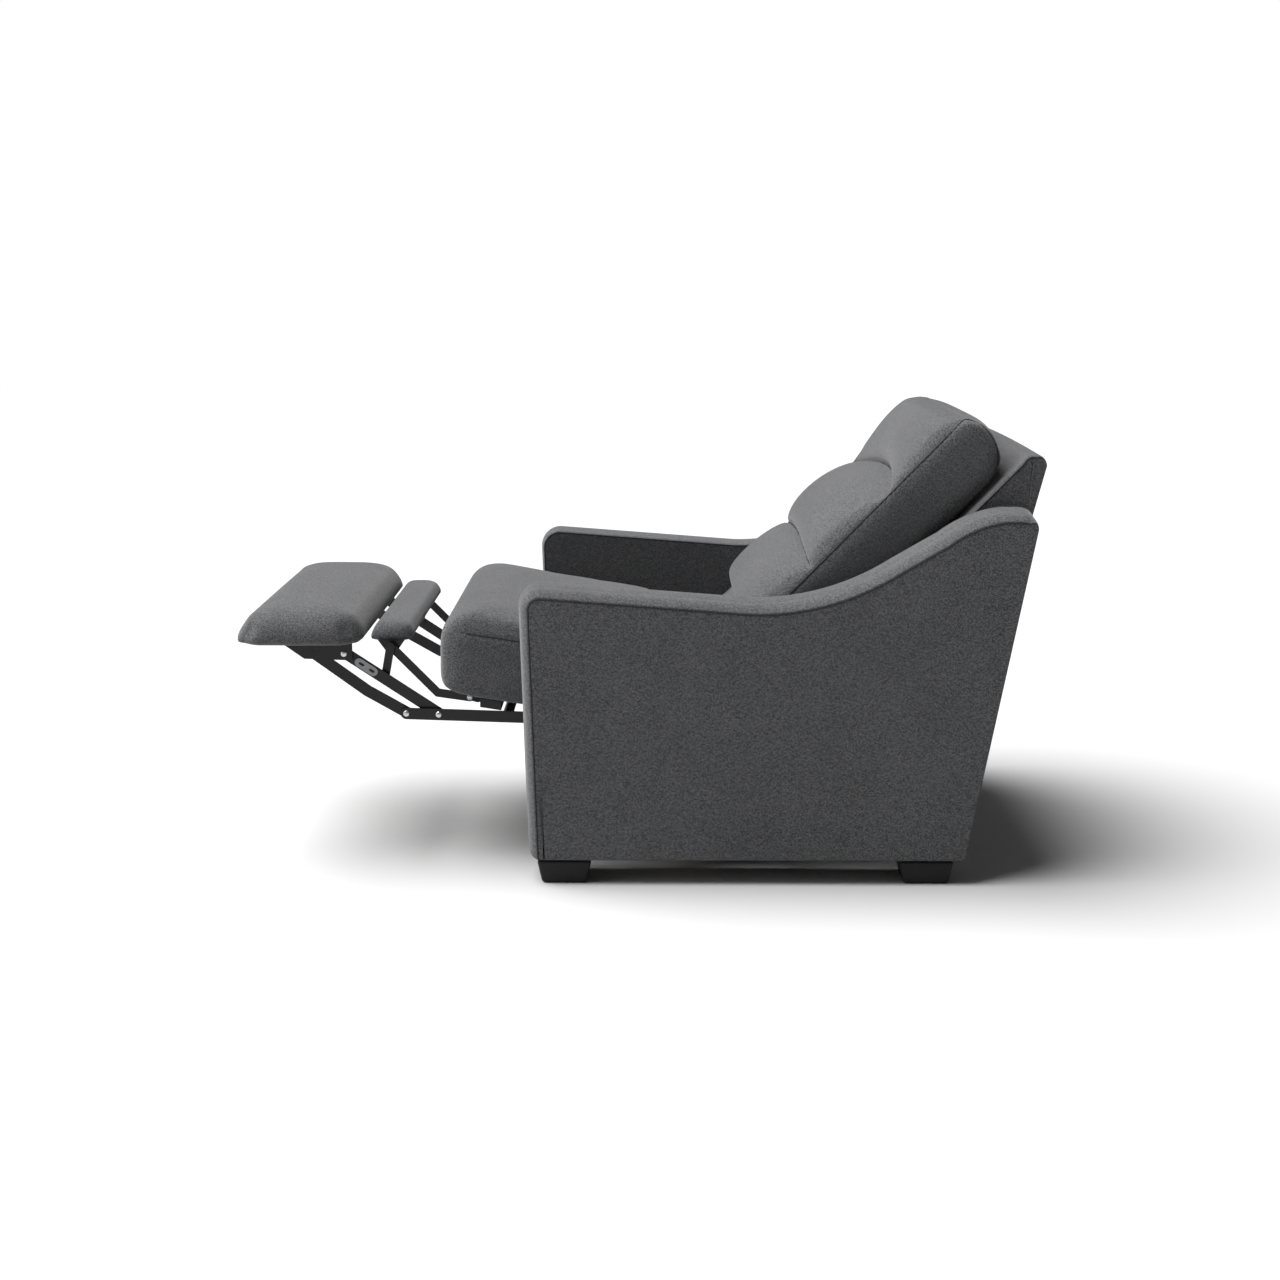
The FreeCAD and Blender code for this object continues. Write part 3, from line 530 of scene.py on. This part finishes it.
def curve_object(name, dimensions, paths, closed):
    """A curve object with one straight-edged spline for each path of (X, Y, Z) points."""
    line = bpy.data.curves.new(name, "CURVE")
    line.dimensions = dimensions
    for path in paths:
        spline = line.splines.new("POLY")
        spline.points.add(len(path) - 1)
        for point, spot in zip(spline.points, path):
            point.co = (*spot, 1.0)
        spline.use_cyclic_u = closed
    holder = bpy.data.objects.new(name, line)
    bpy.context.scene.collection.objects.link(holder)
    return holder


def sew(name, paths, body, closed=False):
    """A line of thread along each path of points."""
    guide = curve_object(name + "_path", "3D", paths, closed)
    mesh = baked(guide, thread_tree(), {"Thread Radius": sizes().seam_thread, "Finish": finish_of(seam_thread)})
    mesh.name = name
    mesh.shade_smooth()
    return new_piece(name, mesh, seam_thread, body)


# ---- stuffed pieces -------------------------------------------------------------------------
def points_of(mesh, kind="co"):
    values = np.zeros(len(mesh.vertices) * 3)
    mesh.vertices.foreach_get(kind, values)
    return values.reshape(-1, 3)


def normals_of(mesh):
    return points_of(mesh, "normal")


def surface_of(mesh):
    """The mesh as a tree that rays can be cast at."""
    return BVHTree.FromPolygons([vertex.co for vertex in mesh.vertices],
                                [face.vertices for face in mesh.polygons])


def move_to(mesh, spots):
    mesh.vertices.foreach_set("co", spots.reshape(-1))
    mesh.update()


def apply_last(piece):
    """Replace the piece's mesh by what its modifiers make of it."""
    bpy.context.view_layer.update()
    graph = bpy.context.evaluated_depsgraph_get()
    mesh = bpy.data.meshes.new_from_object(piece.evaluated_get(graph), depsgraph=graph)
    piece.modifiers.clear()
    piece.data = mesh
    return mesh


def regrid(piece, step):
    """Rebuild the piece's surface on an even grid."""
    modifier = piece.modifiers.new("grid", "REMESH")
    modifier.mode = "VOXEL"
    modifier.voxel_size = step
    modifier.use_smooth_shade = True
    return apply_last(piece)


CLOTH_FRAMES = 20
MOST_SLIDE, SLIDE_SCALE, MOST_SINK = 0.004, 0.012, 0.0015


def blow_up(piece, held, reach, pressure, even=0.0):
    """Stuff the piece: cloth under pressure, some points held, each one's travel limited and evened."""
    start, ways = points_of(piece.data), normals_of(piece.data)
    group = piece.vertex_groups.new(name="held")
    for index in np.nonzero(held > 0.01)[0]:
        group.add([int(index)], float(held[index]), "REPLACE")
    cloth = piece.modifiers.new("cloth", "CLOTH")
    settings = cloth.settings
    settings.quality = 4
    settings.mass = 0.3
    settings.tension_stiffness = 12
    settings.compression_stiffness = 12
    settings.shear_stiffness = 6
    settings.bending_stiffness = 0.6
    settings.use_pressure = True
    settings.uniform_pressure_force = pressure
    settings.vertex_group_mass = "held"
    settings.effector_weights.gravity = 0.0
    cloth.point_cache.frame_start = 1
    cloth.point_cache.frame_end = CLOTH_FRAMES
    scene = bpy.context.scene
    for frame in range(1, CLOTH_FRAMES + 1):
        scene.frame_set(frame)
    mesh = apply_last(piece)
    piece.vertex_groups.clear()
    scene.frame_set(1)
    travel = points_of(mesh) - start
    plump = np.einsum("ij,ij->i", travel, ways)
    slid = travel - ways * plump[:, None]
    far = np.linalg.norm(slid, axis=1)
    slid *= (MOST_SLIDE * np.tanh(far / SLIDE_SCALE) / np.maximum(far, 1e-9))[:, None]
    full = np.tanh(np.maximum(plump, -MOST_SINK) / np.maximum(reach, 1e-6))
    risen = reach * (full * (1 - even) + (1 - held) * even)
    move_to(mesh, start + slid + ways * risen[:, None])


def soften(piece, rounds):
    """Even the surface out a little."""
    modifier = piece.modifiers.new("soften", "SMOOTH")
    modifier.factor = 0.5
    modifier.iterations = rounds
    return apply_last(piece)


def refine(piece):
    """One more division of the surface."""
    modifier = piece.modifiers.new("refine", "SUBSURF")
    modifier.levels = 1
    modifier.render_levels = 1
    mesh = apply_last(piece)
    mesh.shade_smooth()
    return mesh


def crease(mesh, path, width, depth):
    """Press the surface in along a path."""
    spots = points_of(mesh)
    line = np.array([tuple(spot) for spot in path])
    low, high = line.min(0) - width, line.max(0) + width
    near = np.nonzero(np.all((spots > low) & (spots < high), axis=1))[0]
    ways = normals_of(mesh)
    for chunk in np.array_split(near, max(1, len(near) // 4000)):
        gap = np.linalg.norm(spots[chunk][:, None, :] - line[None, :, :], axis=2).min(1)
        dip = depth * np.clip(1 - gap / width, 0, 1) ** 1.5
        spots[chunk] -= ways[chunk] * dip[:, None]
    move_to(mesh, spots)


def calmed(path):
    """The path with its small jogs evened out."""
    for _ in range(3):
        path = path[:1] + [(a + b * 2 + c) / 4 for a, b, c in zip(path, path[1:], path[2:])] + path[-1:]
    return path


def side_path(mesh, loop, way, lift=0.0):
    """Where an outline in side view meets the surface, looking in from the side."""
    tree = surface_of(mesh)
    path = []
    for point in loop:
        hit = tree.ray_cast(Vector((way * 0.6, point.x, point.y)), Vector((-way, 0.0, 0.0)))
        if hit[0] is not None:
            path.append(hit[0] + Vector((way * lift, 0.0, 0.0)))
    return calmed(path)


THREAD_LIFT = 0.0009


def side_seams(mesh, line, width, depth):
    """Press a seam into both sides, and give the paths for its thread."""
    paths = []
    for way in SIDES.values():
        crease(mesh, side_path(mesh, line, way), width, depth)
        paths.append(side_path(mesh, line, way, THREAD_LIFT))
    return paths


COVER_CORNER = 0.02


def stuffed(name, loop, half_width, trim, roll, body, grid, flat=None):
    """A closed cover across the chair, cut smaller than its node, ready to be stuffed."""
    high = half_width - trim
    rings = []
    for part in range(7):
        angle = math.radians(90) * part / 6
        rings.append((-high + roll * (1 - math.cos(angle)), roll * (1 - math.sin(angle))))
    rings = rings + [(-place, depth) for place, depth in rings[::-1]]
    mesh = prism(name, drawn_in(loop, trim, COVER_CORNER, flat), rings, COVER_CORNER, flat)
    piece = new_piece(name, mesh, woven_cover, body)
    regrid(piece, grid)
    return piece


# ---- operators ------------------------------------------------------------------------------
class RECLINER_OT_studio(bpy.types.Operator):
    """Camera, soft lights and a plain pale floor"""

    bl_idname = "recliner.studio"
    bl_label = "Studio"

    def execute(self, context):
        scene = context.scene
        lens = bpy.data.cameras.new("camera")
        lens.lens = 52.0
        lens.sensor_width = 36.0
        lens.clip_end = 60.0
        camera = bpy.data.objects.new("camera", lens)
        camera.location = (3.725, 0.0375, 1.1521)
        camera.rotation_euler = (math.radians(78.326), 0.0, math.radians(90.455))
        scene.collection.objects.link(camera)
        scene.camera = camera
        for name, kind, spot, power, spread in (
            ("overhead", "SUN", (-0.10, -0.55, 1.0), 7.4, 56.0),
            ("front", "AREA", (1.4, -3.6, 1.6), 34.0, 2.4),
        ):
            lamp = bpy.data.lights.new(name, kind)
            lamp.energy = power
            if kind == "SUN":
                lamp.angle = math.radians(spread)
            else:
                lamp.shape = "DISK"
                lamp.size = spread
            light = bpy.data.objects.new(name, lamp)
            light.location = spot
            light.rotation_euler = (-Vector(spot)).to_track_quat("-Z", "Y").to_euler()
            scene.collection.objects.link(light)
        world = bpy.data.worlds.new("studio")
        world.use_nodes = True
        graph = Graph(world.node_tree)
        seen = graph.make("ShaderNodeLightPath", output="Is Camera Ray")
        pale = graph.make("ShaderNodeBackground", None, {0: (1.0, 1.0, 1.0, 1.0), 1: 1.0})
        dim = graph.make("ShaderNodeBackground", None, {0: (1.0, 1.0, 1.0, 1.0), 1: 0.10})
        mixed = graph.make("ShaderNodeMixShader", None, {0: seen, 1: dim, 2: pale})
        graph.make("ShaderNodeOutputWorld", None, {0: mixed})
        scene.world = world
        scene.view_settings.view_transform = "Standard"
        scene.view_settings.look = "None"
        shape = bmesh.new()
        bmesh.ops.create_circle(shape, cap_ends=True, segments=64, radius=14.0)
        mesh = mesh_of(shape, "studio_floor")
        mesh.materials.append(finish_of(studio_floor))
        floor = bpy.data.objects.new("studio_floor", mesh)
        scene.collection.objects.link(floor)
        return {"FINISHED"}


class RECLINER_OT_arms(bpy.types.Operator):
    """Padded arms with a rolled edge and a seam round each side panel"""

    bl_idname = "recliner.arms"
    bl_label = "Arms"

    def execute(self, context):
        size = sizes()
        loop = evened(side_outline("arm_cover_left"), 0.026)
        hidden = Vector((0.77, -0.64))
        low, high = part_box("arm_cover_left")
        rings = crowned_rings(low.x, high.x, size.arm_edge, size.arm_roll, size.arm_crown, size.seam_deep)
        for side, way in SIDES.items():
            placed = [(way * place, depth) for place, depth in rings]
            name = "padded_arm_" + side
            mesh = prism(name, loop, placed, size.corner, hidden)
            arm = new_piece(name, mesh, woven_cover, "chair")
            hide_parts("arm_cover_" + side)
            paths = []
            for edge_x, roll in ((high.x - 0.0004, size.arm_roll), (low.x + 0.0004, size.arm_edge)):
                sewn = seam_run(drawn_in(loop, roll + 0.0002, size.corner, hidden), hidden)
                paths.append([(way * edge_x, point.x, point.y) for point in sewn])
            sew("arm_seams_" + side, paths, "chair")
        return {"FINISHED"}


class RECLINER_OT_outer_back(bpy.types.Operator):
    """Padded top of the fixed outer back, and the panel below it"""

    bl_idname = "recliner.outer_back"
    bl_label = "Outer back"

    def execute(self, context):
        size = sizes()
        for name, node, roll, crown in (("outer_back_top", "back_top_pad", 0.004, 0.003),
                                        ("outer_back_panel", "back_panel", 0.002, 0.001)):
            loop = evened(side_outline(node), OUTLINE_STEP)
            low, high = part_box(node)
            hidden = Vector((0.9, -0.43))
            mesh = prism(name, loop, crowned_rings(low.x, high.x, roll, roll, crown, 0.001), 0.004, hidden)
            piece = new_piece(name, mesh, woven_cover, "chair")
            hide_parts(node)
            line = seam_run(drawn_in(loop, roll + 0.0002, 0.004, hidden), hidden)
            paths = [[(edge, point.x, point.y) for point in line] for edge in (low.x, high.x)]
            sew(name + "_seams", paths, "chair")
        return {"FINISHED"}


class RECLINER_OT_seat(bpy.types.Operator):
    """Stuffed seat cushion with a seam round each side panel"""

    bl_idname = "recliner.seat"
    bl_label = "Seat cushion"

    def execute(self, context):
        low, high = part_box("seat_cushion")
        outline = side_outline("seat_cushion")
        trim = 0.004
        piece = stuffed("soft_seat", evened(outline, OUTLINE_STEP), high.x, trim, 0.030, "seat",
                        sizes().cloth_grid, DOWN)
        mesh = piece.data
        spots, ways = points_of(mesh), normals_of(mesh)
        under = ways[:, 2] < -0.75
        spots[under, 2] -= trim * 0.8
        move_to(mesh, spots)
        rear = smooth_step((spots[:, 1] - (high.y - 0.20)) / 0.12)
        held = np.clip(smooth_step((-ways[:, 2] - 0.45) / 0.3) + rear, 0, 1)
        reach = np.full(len(spots), 0.026) * (1 - 0.8 * rear)
        reach[np.abs(ways[:, 0]) > 0.7] = 0.007
        blow_up(piece, held, reach, 6.0, 0.55)
        soften(piece, 26)
        mesh = refine(piece)
        under = max(edges_of(outline), key=lambda edge: edge[1].x - edge[0].x)
        fall = (under[1].y - under[0].y) / (under[1].x - under[0].x)
        run, drop = 0.012, 0.0235
        line = [Vector((low.y + 0.001 + run * step, high.z - drop + fall * run * step)) for step in range(34)]
        paths = side_seams(mesh, line, 0.008, 0.0025)
        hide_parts("seat_cushion")
        sew("seat_seams", paths, "seat")
        return {"FINISHED"}


class RECLINER_OT_backrest(bpy.types.Operator):
    """Stuffed back cushion with three pillows and two creases"""

    bl_idname = "recliner.backrest"
    bl_label = "Back cushion"

    def execute(self, context):
        size = sizes()
        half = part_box("back_cushion")[1].x
        outline = side_outline("back_cushion")
        falling = [(start, end) for start, end in edges_of(outline) if start.y > end.y]
        top, foot = max(falling, key=lambda edge: (edge[0] - edge[1]).length)
        up = (top - foot).normalized()
        out = Vector((-up.y, up.x))
        reach_up = (top - foot).length

        def along(point):
            return (Vector(point) - foot).dot(up)

        heights = {}
        for part in ("lower", "middle", "upper"):
            ring = [along(point) for point in side_outline("pillow_" + part)]
            heights[part] = (min(ring), max(ring))
        creases = [(heights[below][1] + heights[above][0]) / 2
                   for below, above in (("lower", "middle"), ("middle", "upper"))]
        # how far each crease's ends drop and its middle rises, and how far out it stays below the crowns
        drops = (0.015, 0.045)
        rises = (0.006, 0.017)
        valleys = (0.017, -0.022)
        crowns = (size.pillow_swell * 1.08, size.pillow_swell, size.pillow_swell * 0.73)
        crease_width = 0.29

        def crease_at(number, across):
            return creases[number] + rises[number] - drops[number] * (np.abs(across) / crease_width) ** 1.9

        def stand_out(across, rise, share):
            """How far the front stands out of the plane through its seams."""
            first, second = crease_at(0, across), crease_at(1, across)
            marks = (np.full_like(rise, -0.01), first, second, np.full_like(rise, reach_up + 0.004))
            levels = (0.030, valleys[0], valleys[1], 0.0)
            depth = np.zeros_like(rise)
            for part in range(3):
                inside = (rise >= marks[part]) & (rise < marks[part + 1])
                place = np.clip((rise - marks[part]) / (marks[part + 1] - marks[part]), 0, 1)
                base = levels[part] * (1 - place) + levels[part + 1] * place
                crown = crowns[part] - (levels[part] + levels[part + 1]) / 2
                swell = crown * (4 * place * (1 - place)) ** 0.52
                depth = np.where(inside, base + swell * share, depth)
            plain = np.interp(rise, [-0.01, 0.05, 0.12, 0.28, 0.46, reach_up],
                              [0.022, 0.036, 0.040, 0.036, 0.026, 0.0])
            fade = smooth_step((np.abs(across) - 0.283) / 0.02)
            depth = depth * (1 - fade) + plain * share * fade
            return depth * np.clip(1 - (np.abs(across) / half) ** 3, 0, 1) ** 0.6

        forward, upward = np.array([0.0, out.x, out.y]), np.array([0.0, up.x, up.y])

        def lie_of(mesh):
            """Each point and normal, with how high up the front it is and how far out of it."""
            spots = points_of(mesh)
            run, climb = spots[:, 1] - foot.x, spots[:, 2] - foot.y
            return spots, normals_of(mesh), run * up.x + climb * up.y, run * out.x + climb * out.y

        trim = 0.006
        piece = stuffed("soft_back", evened(outline, OUTLINE_STEP), half, trim, 0.016, "backrest",
                        size.cloth_grid)
        mesh = piece.data
        spots, ways, rise, _ = lie_of(mesh)
        spots -= forward * (trim * smooth_step((-(ways @ forward) - 0.5) / 0.3))[:, None]
        front = smooth_step((ways @ forward - 0.25) / 0.4)
        deep = -((spots[:, 1] - foot.x) * out.x + (spots[:, 2] - foot.y) * out.y)
        over = smooth_step((ways @ upward - 0.3) / 0.4) * smooth_step(deep / 0.05)
        bow = np.clip(1 - (np.abs(spots[:, 0]) / half) ** 4, 0, 1) ** 0.55
        spots += forward * (stand_out(spots[:, 0], rise, 0.92) * front)[:, None]
        spots += upward * (0.014 * bow * over)[:, None]
        move_to(mesh, spots)
        mesh = regrid(piece, size.cloth_grid)
        spots, _, rise, proud = lie_of(mesh)
        held = 1 - smooth_step((proud + 0.03) / 0.035)
        for number in range(2):
            near = np.abs(rise - crease_at(number, spots[:, 0]))
            on_front = (np.abs(spots[:, 0]) < 0.298) * (proud > -0.01)
            line = smooth_step(1.6 - near / 0.006) * on_front
            held = np.maximum(held, line)
        reach = 0.010 * smooth_step((proud + 0.03) / 0.05) + 0.0005
        reach[rise < 0.06] *= 0.4
        blow_up(piece, np.clip(held, 0, 1), reach, 3.0)
        soften(piece, 1)
        mesh = refine(piece)
        spots, ways, rise, proud = lie_of(mesh)
        front = smooth_step((ways @ forward - 0.05) / 0.3) * smooth_step((reach_up - 0.004 - rise) / 0.03)
        sides = smooth_step((half - 0.004 - np.abs(spots[:, 0])) / 0.03)
        front *= sides * smooth_step((rise + 0.008) / 0.02)
        wanted = stand_out(spots[:, 0], rise, 1.0)
        spots += forward * ((wanted - proud) * front * 0.8)[:, None]
        move_to(mesh, spots)
        lines = []
        tree = surface_of(mesh)
        for number in range(2):
            path = []
            for step in range(-58, 59):
                across = step * 0.005
                spot = foot + up * float(crease_at(number, across)) + out * 0.3
                hit = tree.ray_cast(Vector((across, spot.x, spot.y)), -Vector(forward))
                if hit[0] is not None:
                    path.append(hit[0])
            lines.append(path)
        for path in lines:
            crease(mesh, path, 0.010, 0.004)
        panel = drawn_in(evened(outline, 0.012), 0.004, 0.02)
        paths = side_seams(mesh, panel, 0.008, 0.002)
        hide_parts("back_cushion", "pillow_lower", "pillow_middle", "pillow_upper")
        sew("back_side_seams", paths, "backrest", closed=True)
        # each crease gets a dark thread tube: it stands for the seam there and is also painted shade of the fold
        tree = surface_of(mesh)
        folds = []
        for path in lines:
            hits = [tree.ray_cast(spot + Vector(forward) * 0.05, -Vector(forward))[0] for spot in path[1:-1]]
            folds.append([spot for spot in hits if spot is not None])
        sew("back_crease_seams_and_shade", folds, "backrest")
        return {"FINISHED"}


class RECLINER_OT_crevice(bpy.types.Operator):
    """Cloth between the seat's rear and the back cushion"""

    bl_idname = "recliner.crevice"
    bl_label = "Crevice cloth"

    def execute(self, context):
        seat, back = side_outline("seat_cushion"), side_outline("back_cushion")
        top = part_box("seat_cushion")[1].z
        corner = max((point for point in seat if point.y > top - 0.1), key=lambda point: point.x)
        foot = min(back, key=lambda point: point.x)
        start, end = corner + Vector((-0.012, -0.006)), foot + Vector((0.010, 0.004))
        dip = Vector((start.x + 0.57 * (end.x - start.x), start.y - 0.030))
        curve = [start * (1 - part) ** 2 + dip * 2 * part * (1 - part) + end * part ** 2
                 for part in np.linspace(0, 1, 25)]
        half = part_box("back_cushion")[1].x - 0.012
        rows = np.linspace(-half, half, 61)
        spots = [(across, point.x, point.y) for point in curve for across in rows]
        count = len(rows)
        faces = [(row * count + place, row * count + place + 1, (row + 1) * count + place + 1,
                  (row + 1) * count + place) for row in range(len(curve) - 1) for place in range(count - 1)]
        mesh = bpy.data.meshes.new("crevice_cloth")
        mesh.from_pydata(spots, [], faces)
        mesh.materials.append(finish_of(woven_cover))
        piece = bpy.data.objects.new("crevice_cloth", mesh)
        context.scene.collection.objects.link(piece)
        modifier = piece.modifiers.new("cloth", "SOLIDIFY")
        modifier.thickness = 0.0016
        apply_last(piece).shade_smooth()
        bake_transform(piece)
        run = sum((after - before).length for before, after in zip(curve, curve[1:]))
        return {"FINISHED"}


class RECLINER_OT_footrest(bpy.types.Operator):
    """Stuffed footrest pad and the small flap between it and the seat"""

    bl_idname = "recliner.footrest"
    bl_label = "Footrest pads"

    def execute(self, context):
        for name, node, body, roll, most, shoulder, grid in (
            ("soft_footrest", "rest_pad", "footrest", 0.014, 0.014, 0.080, 0.005),
            ("soft_flap", "flap_pad", "flap", 0.008, 0.015, 0.036, 0.004),
        ):
            low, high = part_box(node)
            piece = stuffed(name, evened(side_outline(node), OUTLINE_STEP), high.x, 0.0, roll, body, grid, DOWN)
            mesh = piece.data
            spots = points_of(mesh)
            # the cover falls from a domed top to a thin edge, and its corners are rounded in plan
            middle = (low + high) / 2
            side = shoulder * 0.55
            across = np.clip((np.abs(spots[:, 0] - middle.x) - (high.x - middle.x - side)) / side, 0, 1)
            inner_y = high.y - middle.y - shoulder
            lengthways = np.clip((np.abs(spots[:, 1] - middle.y) - inner_y) / shoulder, 0, 1)
            rim = np.clip(np.hypot(across, lengthways), 0, 1.2)
            dome = 0.36 + 0.64 * np.sqrt(np.clip(1 - rim ** 2, 0, 1))
            spots[:, 2] = low.z + (spots[:, 2] - low.z) * dome
            outer = np.clip((middle.y - spots[:, 1]) / (middle.y - low.y), 0, 1)
            sag = np.maximum(across, smooth_step((outer - 0.72) / 0.28))
            spots[:, 2] -= 0.007 * smooth_step(sag)
            pull = np.clip(np.minimum(across, lengthways) - 0.45, 0, 1) * shoulder * 0.35
            spots[:, 0] -= np.sign(spots[:, 0] - middle.x) * pull
            spots[:, 1] -= np.sign(spots[:, 1] - middle.y) * pull
            move_to(mesh, spots)
            mesh = regrid(piece, grid)
            ways = normals_of(mesh)
            held = smooth_step((-ways[:, 2] - 0.45) / 0.3)
            reach = most * (1 - 0.75 * smooth_step((np.abs(ways[:, 1]) - 0.35) / 0.4))
            blow_up(piece, held, reach, 6.0, 0.5)
            soften(piece, 24)
            refine(piece)
            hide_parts(node)
        return {"FINISHED"}


class RECLINER_OT_mechanism(bpy.types.Operator):
    """Finishes of the steel, the springs and the timber"""

    bl_idname = "recliner.mechanism"
    bl_label = "Mechanism"

    def execute(self, context):
        makers = {"steel": black_steel, "spring_steel": oiled_wire, "wood": sawn_timber, "foot": moulded_black,
                  "fabric": woven_cover}
        for part in FRAME["record"]["subparts"]:
            node = FRAME["nodes"][part["node"]]
            material = finish_of(makers[part["material_slot"]])
            if node.material_slots:
                for holder in node.material_slots:
                    holder.material = material
            else:
                node.data.materials.append(material)
        return {"FINISHED"}


class RECLINER_OT_feet(bpy.types.Operator):
    """Moulded block feet with rounded edges"""

    bl_idname = "recliner.feet"
    bl_label = "Feet"

    def execute(self, context):
        for side in SIDES:
            for end in ("front", "rear"):
                node = "foot_%s_%s" % (end, side)
                shape = bmesh.new()
                shape.from_mesh(FRAME["nodes"][node].data)
                bmesh.ops.remove_doubles(shape, verts=shape.verts, dist=1e-5)
                bmesh.ops.dissolve_limit(shape, angle_limit=0.02, verts=shape.verts, edges=shape.edges)
                bmesh.ops.bevel(shape, geom=list(shape.edges), offset=0.006, segments=4,
                                affect="EDGES", profile=0.5)
                bmesh.ops.recalc_face_normals(shape, faces=shape.faces)
                mesh = mesh_of(shape, "block_" + node)
                mesh.shade_smooth()
                foot = new_piece("block_" + node, mesh, moulded_black, "chair")
                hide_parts(node)
        return {"FINISHED"}


def rivet_tree():
    """Geometry nodes that set a domed rivet head, its axis along X, on every point."""
    tree, graph, given = new_group("rivet heads", "Points", {"Head Radius": 0.006, "Head Height": 0.0025},
                                   "Rivets")
    radius, height = given["Head Radius"], given["Head Height"]
    ball = graph.make("GeometryNodeMeshUVSphere", None, {"Segments": 16, "Rings": 8, "Radius": 1.0})
    size = graph.make("ShaderNodeCombineXYZ", None, {0: height, 1: radius, 2: radius})
    head = graph.make("GeometryNodeTransform", None, {"Geometry": ball, "Scale": size})
    placed = graph.make("GeometryNodeInstanceOnPoints", None, {"Points": given["Points"], "Instance": head})
    solid = graph.make("GeometryNodeRealizeInstances", None, {0: placed})
    close_group(graph, graph.make("GeometryNodeSetShadeSmooth", None, {"Geometry": solid}), given)
    return tree


class RECLINER_OT_rivets(bpy.types.Operator):
    """Bright rivet heads at the mechanism's pivots"""

    bl_idname = "recliner.rivets"
    bl_label = "Rivets"

    def execute(self, context):
        pivots = {joint["name"]: Vector(joint["pos_m"]) for joint in FRAME["joints"]}
        tree = rivet_tree()
        for body, node, hinges in (("drive", "drive_link_left", ("upper_hinge", "lower_hinge")),
                                   ("footrest", "rest_bracket_left", ("footrest_hinge",)),
                                   ("flap_arms", "flap_arm_left", ("flap_arm_hinge",))):
            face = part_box(node)[1].x
            mesh = bpy.data.meshes.new("points")
            mesh.from_pydata([(way * face, *pivots[hinge][1:]) for way in (1, -1) for hinge in hinges], [], [])
            points = bpy.data.objects.new("points", mesh)
            context.scene.collection.objects.link(points)
            values = {"Head Radius": sizes().rivet, "Head Height": 0.0024, "Finish": finish_of(bright_zinc)}
            rivets = baked(points, tree, values)
            new_piece("rivets_" + body, rivets, bright_zinc, body)
        return {"FINISHED"}


def flat_plate(name, outlines, thick):
    """A plate across the X axis, from outlines in (Y, Z): first its edge and then its slots."""
    paths = [[(spot.x, spot.y, 0.0) for spot in outline] for outline in outlines]
    shape = curve_object(name, "2D", paths, True)
    line = shape.data
    line.fill_mode = "BOTH"
    line.extrude = thick / 2
    line.bevel_depth = thick * 0.15
    line.bevel_resolution = 1
    bpy.context.view_layer.update()
    mesh = bpy.data.meshes.new_from_object(shape)
    bpy.data.objects.remove(shape)
    bpy.data.curves.remove(line)
    # the curve's X, Y and Z become the chair's Y, Z and X
    mesh.transform(Matrix(((0, 0, 1, 0), (1, 0, 0, 0), (0, 1, 0, 0), (0, 0, 0, 1))))
    return mesh


def slot_outline(start, end, half, arc=8):
    """A slot's outline round two centres."""
    along = (end - start).normalized()
    side = Vector((-along.y, along.x))
    points = []
    for centre, way in ((end, 1.0), (start, -1.0)):
        for part in range(arc + 1):
            angle = math.pi * (part / arc - 0.5)
            points.append(centre + (along * math.cos(angle) + side * math.sin(angle)) * half * way)
    return points


class RECLINER_OT_adjuster(bpy.types.Operator):
    """Slotted plated adjuster on the upper links, on both sides"""

    bl_idname = "recliner.adjuster"
    bl_label = "Adjuster"

    def execute(self, context):
        pivots = {joint["name"]: Vector(joint["pos_m"][1:]) for joint in FRAME["joints"]}
        lower, upper = pivots["upper_hinge"], pivots["footrest_hinge"]
        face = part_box("upper_link_left")[1].x
        along, middle, thick = (upper - lower).normalized(), upper.lerp(lower, 0.23), 0.0016
        for side, way in SIDES.items():
            outlines = [slot_outline(middle + along * start, middle + along * end, half)
                        for start, end, half in ((-0.016, 0.016, 0.0085), (-0.016, -0.009, 0.0025),
                                                 (0.007, 0.014, 0.0025))]
            mesh = flat_plate("adjuster_" + side, outlines, thick)
            mesh.transform(Matrix.Translation((face + thick / 2 + 0.0001, 0, 0)))
            if way < 0:
                mesh.transform(Matrix.Diagonal((-1, 1, 1, 1)))
                mesh.flip_normals()
            new_piece("adjuster_" + side, mesh, dull_zinc, "upper_links")
        return {"FINISHED"}


class RECLINER_PT_panel(bpy.types.Panel):
    """Sizes, colours and pieces of the armchair"""

    bl_idname = "RECLINER_PT_panel"
    bl_label = "Recliner Armchair"
    bl_space_type = "VIEW_3D"
    bl_region_type = "UI"
    bl_category = "Recliner"

    def draw(self, context):
        for group in (context.scene.recliner_sizes, context.scene.recliner_colours):
            box = self.layout.box()
            for name in group.__annotations__:
                box.prop(group, name)
        for operator in OPERATORS:
            self.layout.operator(operator.bl_idname)


OPERATORS = (RECLINER_OT_studio, RECLINER_OT_mechanism, RECLINER_OT_arms, RECLINER_OT_outer_back,
             RECLINER_OT_seat, RECLINER_OT_backrest, RECLINER_OT_crevice, RECLINER_OT_footrest,
             RECLINER_OT_rivets, RECLINER_OT_adjuster, RECLINER_OT_feet)
CLASSES = (ReclinerSizes, ReclinerColours) + OPERATORS + (RECLINER_PT_panel,)


def register():
    for item in CLASSES:
        bpy.utils.register_class(item)
    bpy.types.Scene.recliner_sizes = bpy.props.PointerProperty(type=ReclinerSizes)
    bpy.types.Scene.recliner_colours = bpy.props.PointerProperty(type=ReclinerColours)


def unregister():
    del bpy.types.Scene.recliner_sizes
    del bpy.types.Scene.recliner_colours
    for item in reversed(CLASSES):
        bpy.utils.unregister_class(item)


def main():
    """Make every piece in order."""
    register()
    for operator in OPERATORS:
        family, name = operator.bl_idname.split(".")
        getattr(getattr(bpy.ops, family), name)()


if __name__ == "__main__":
    main()
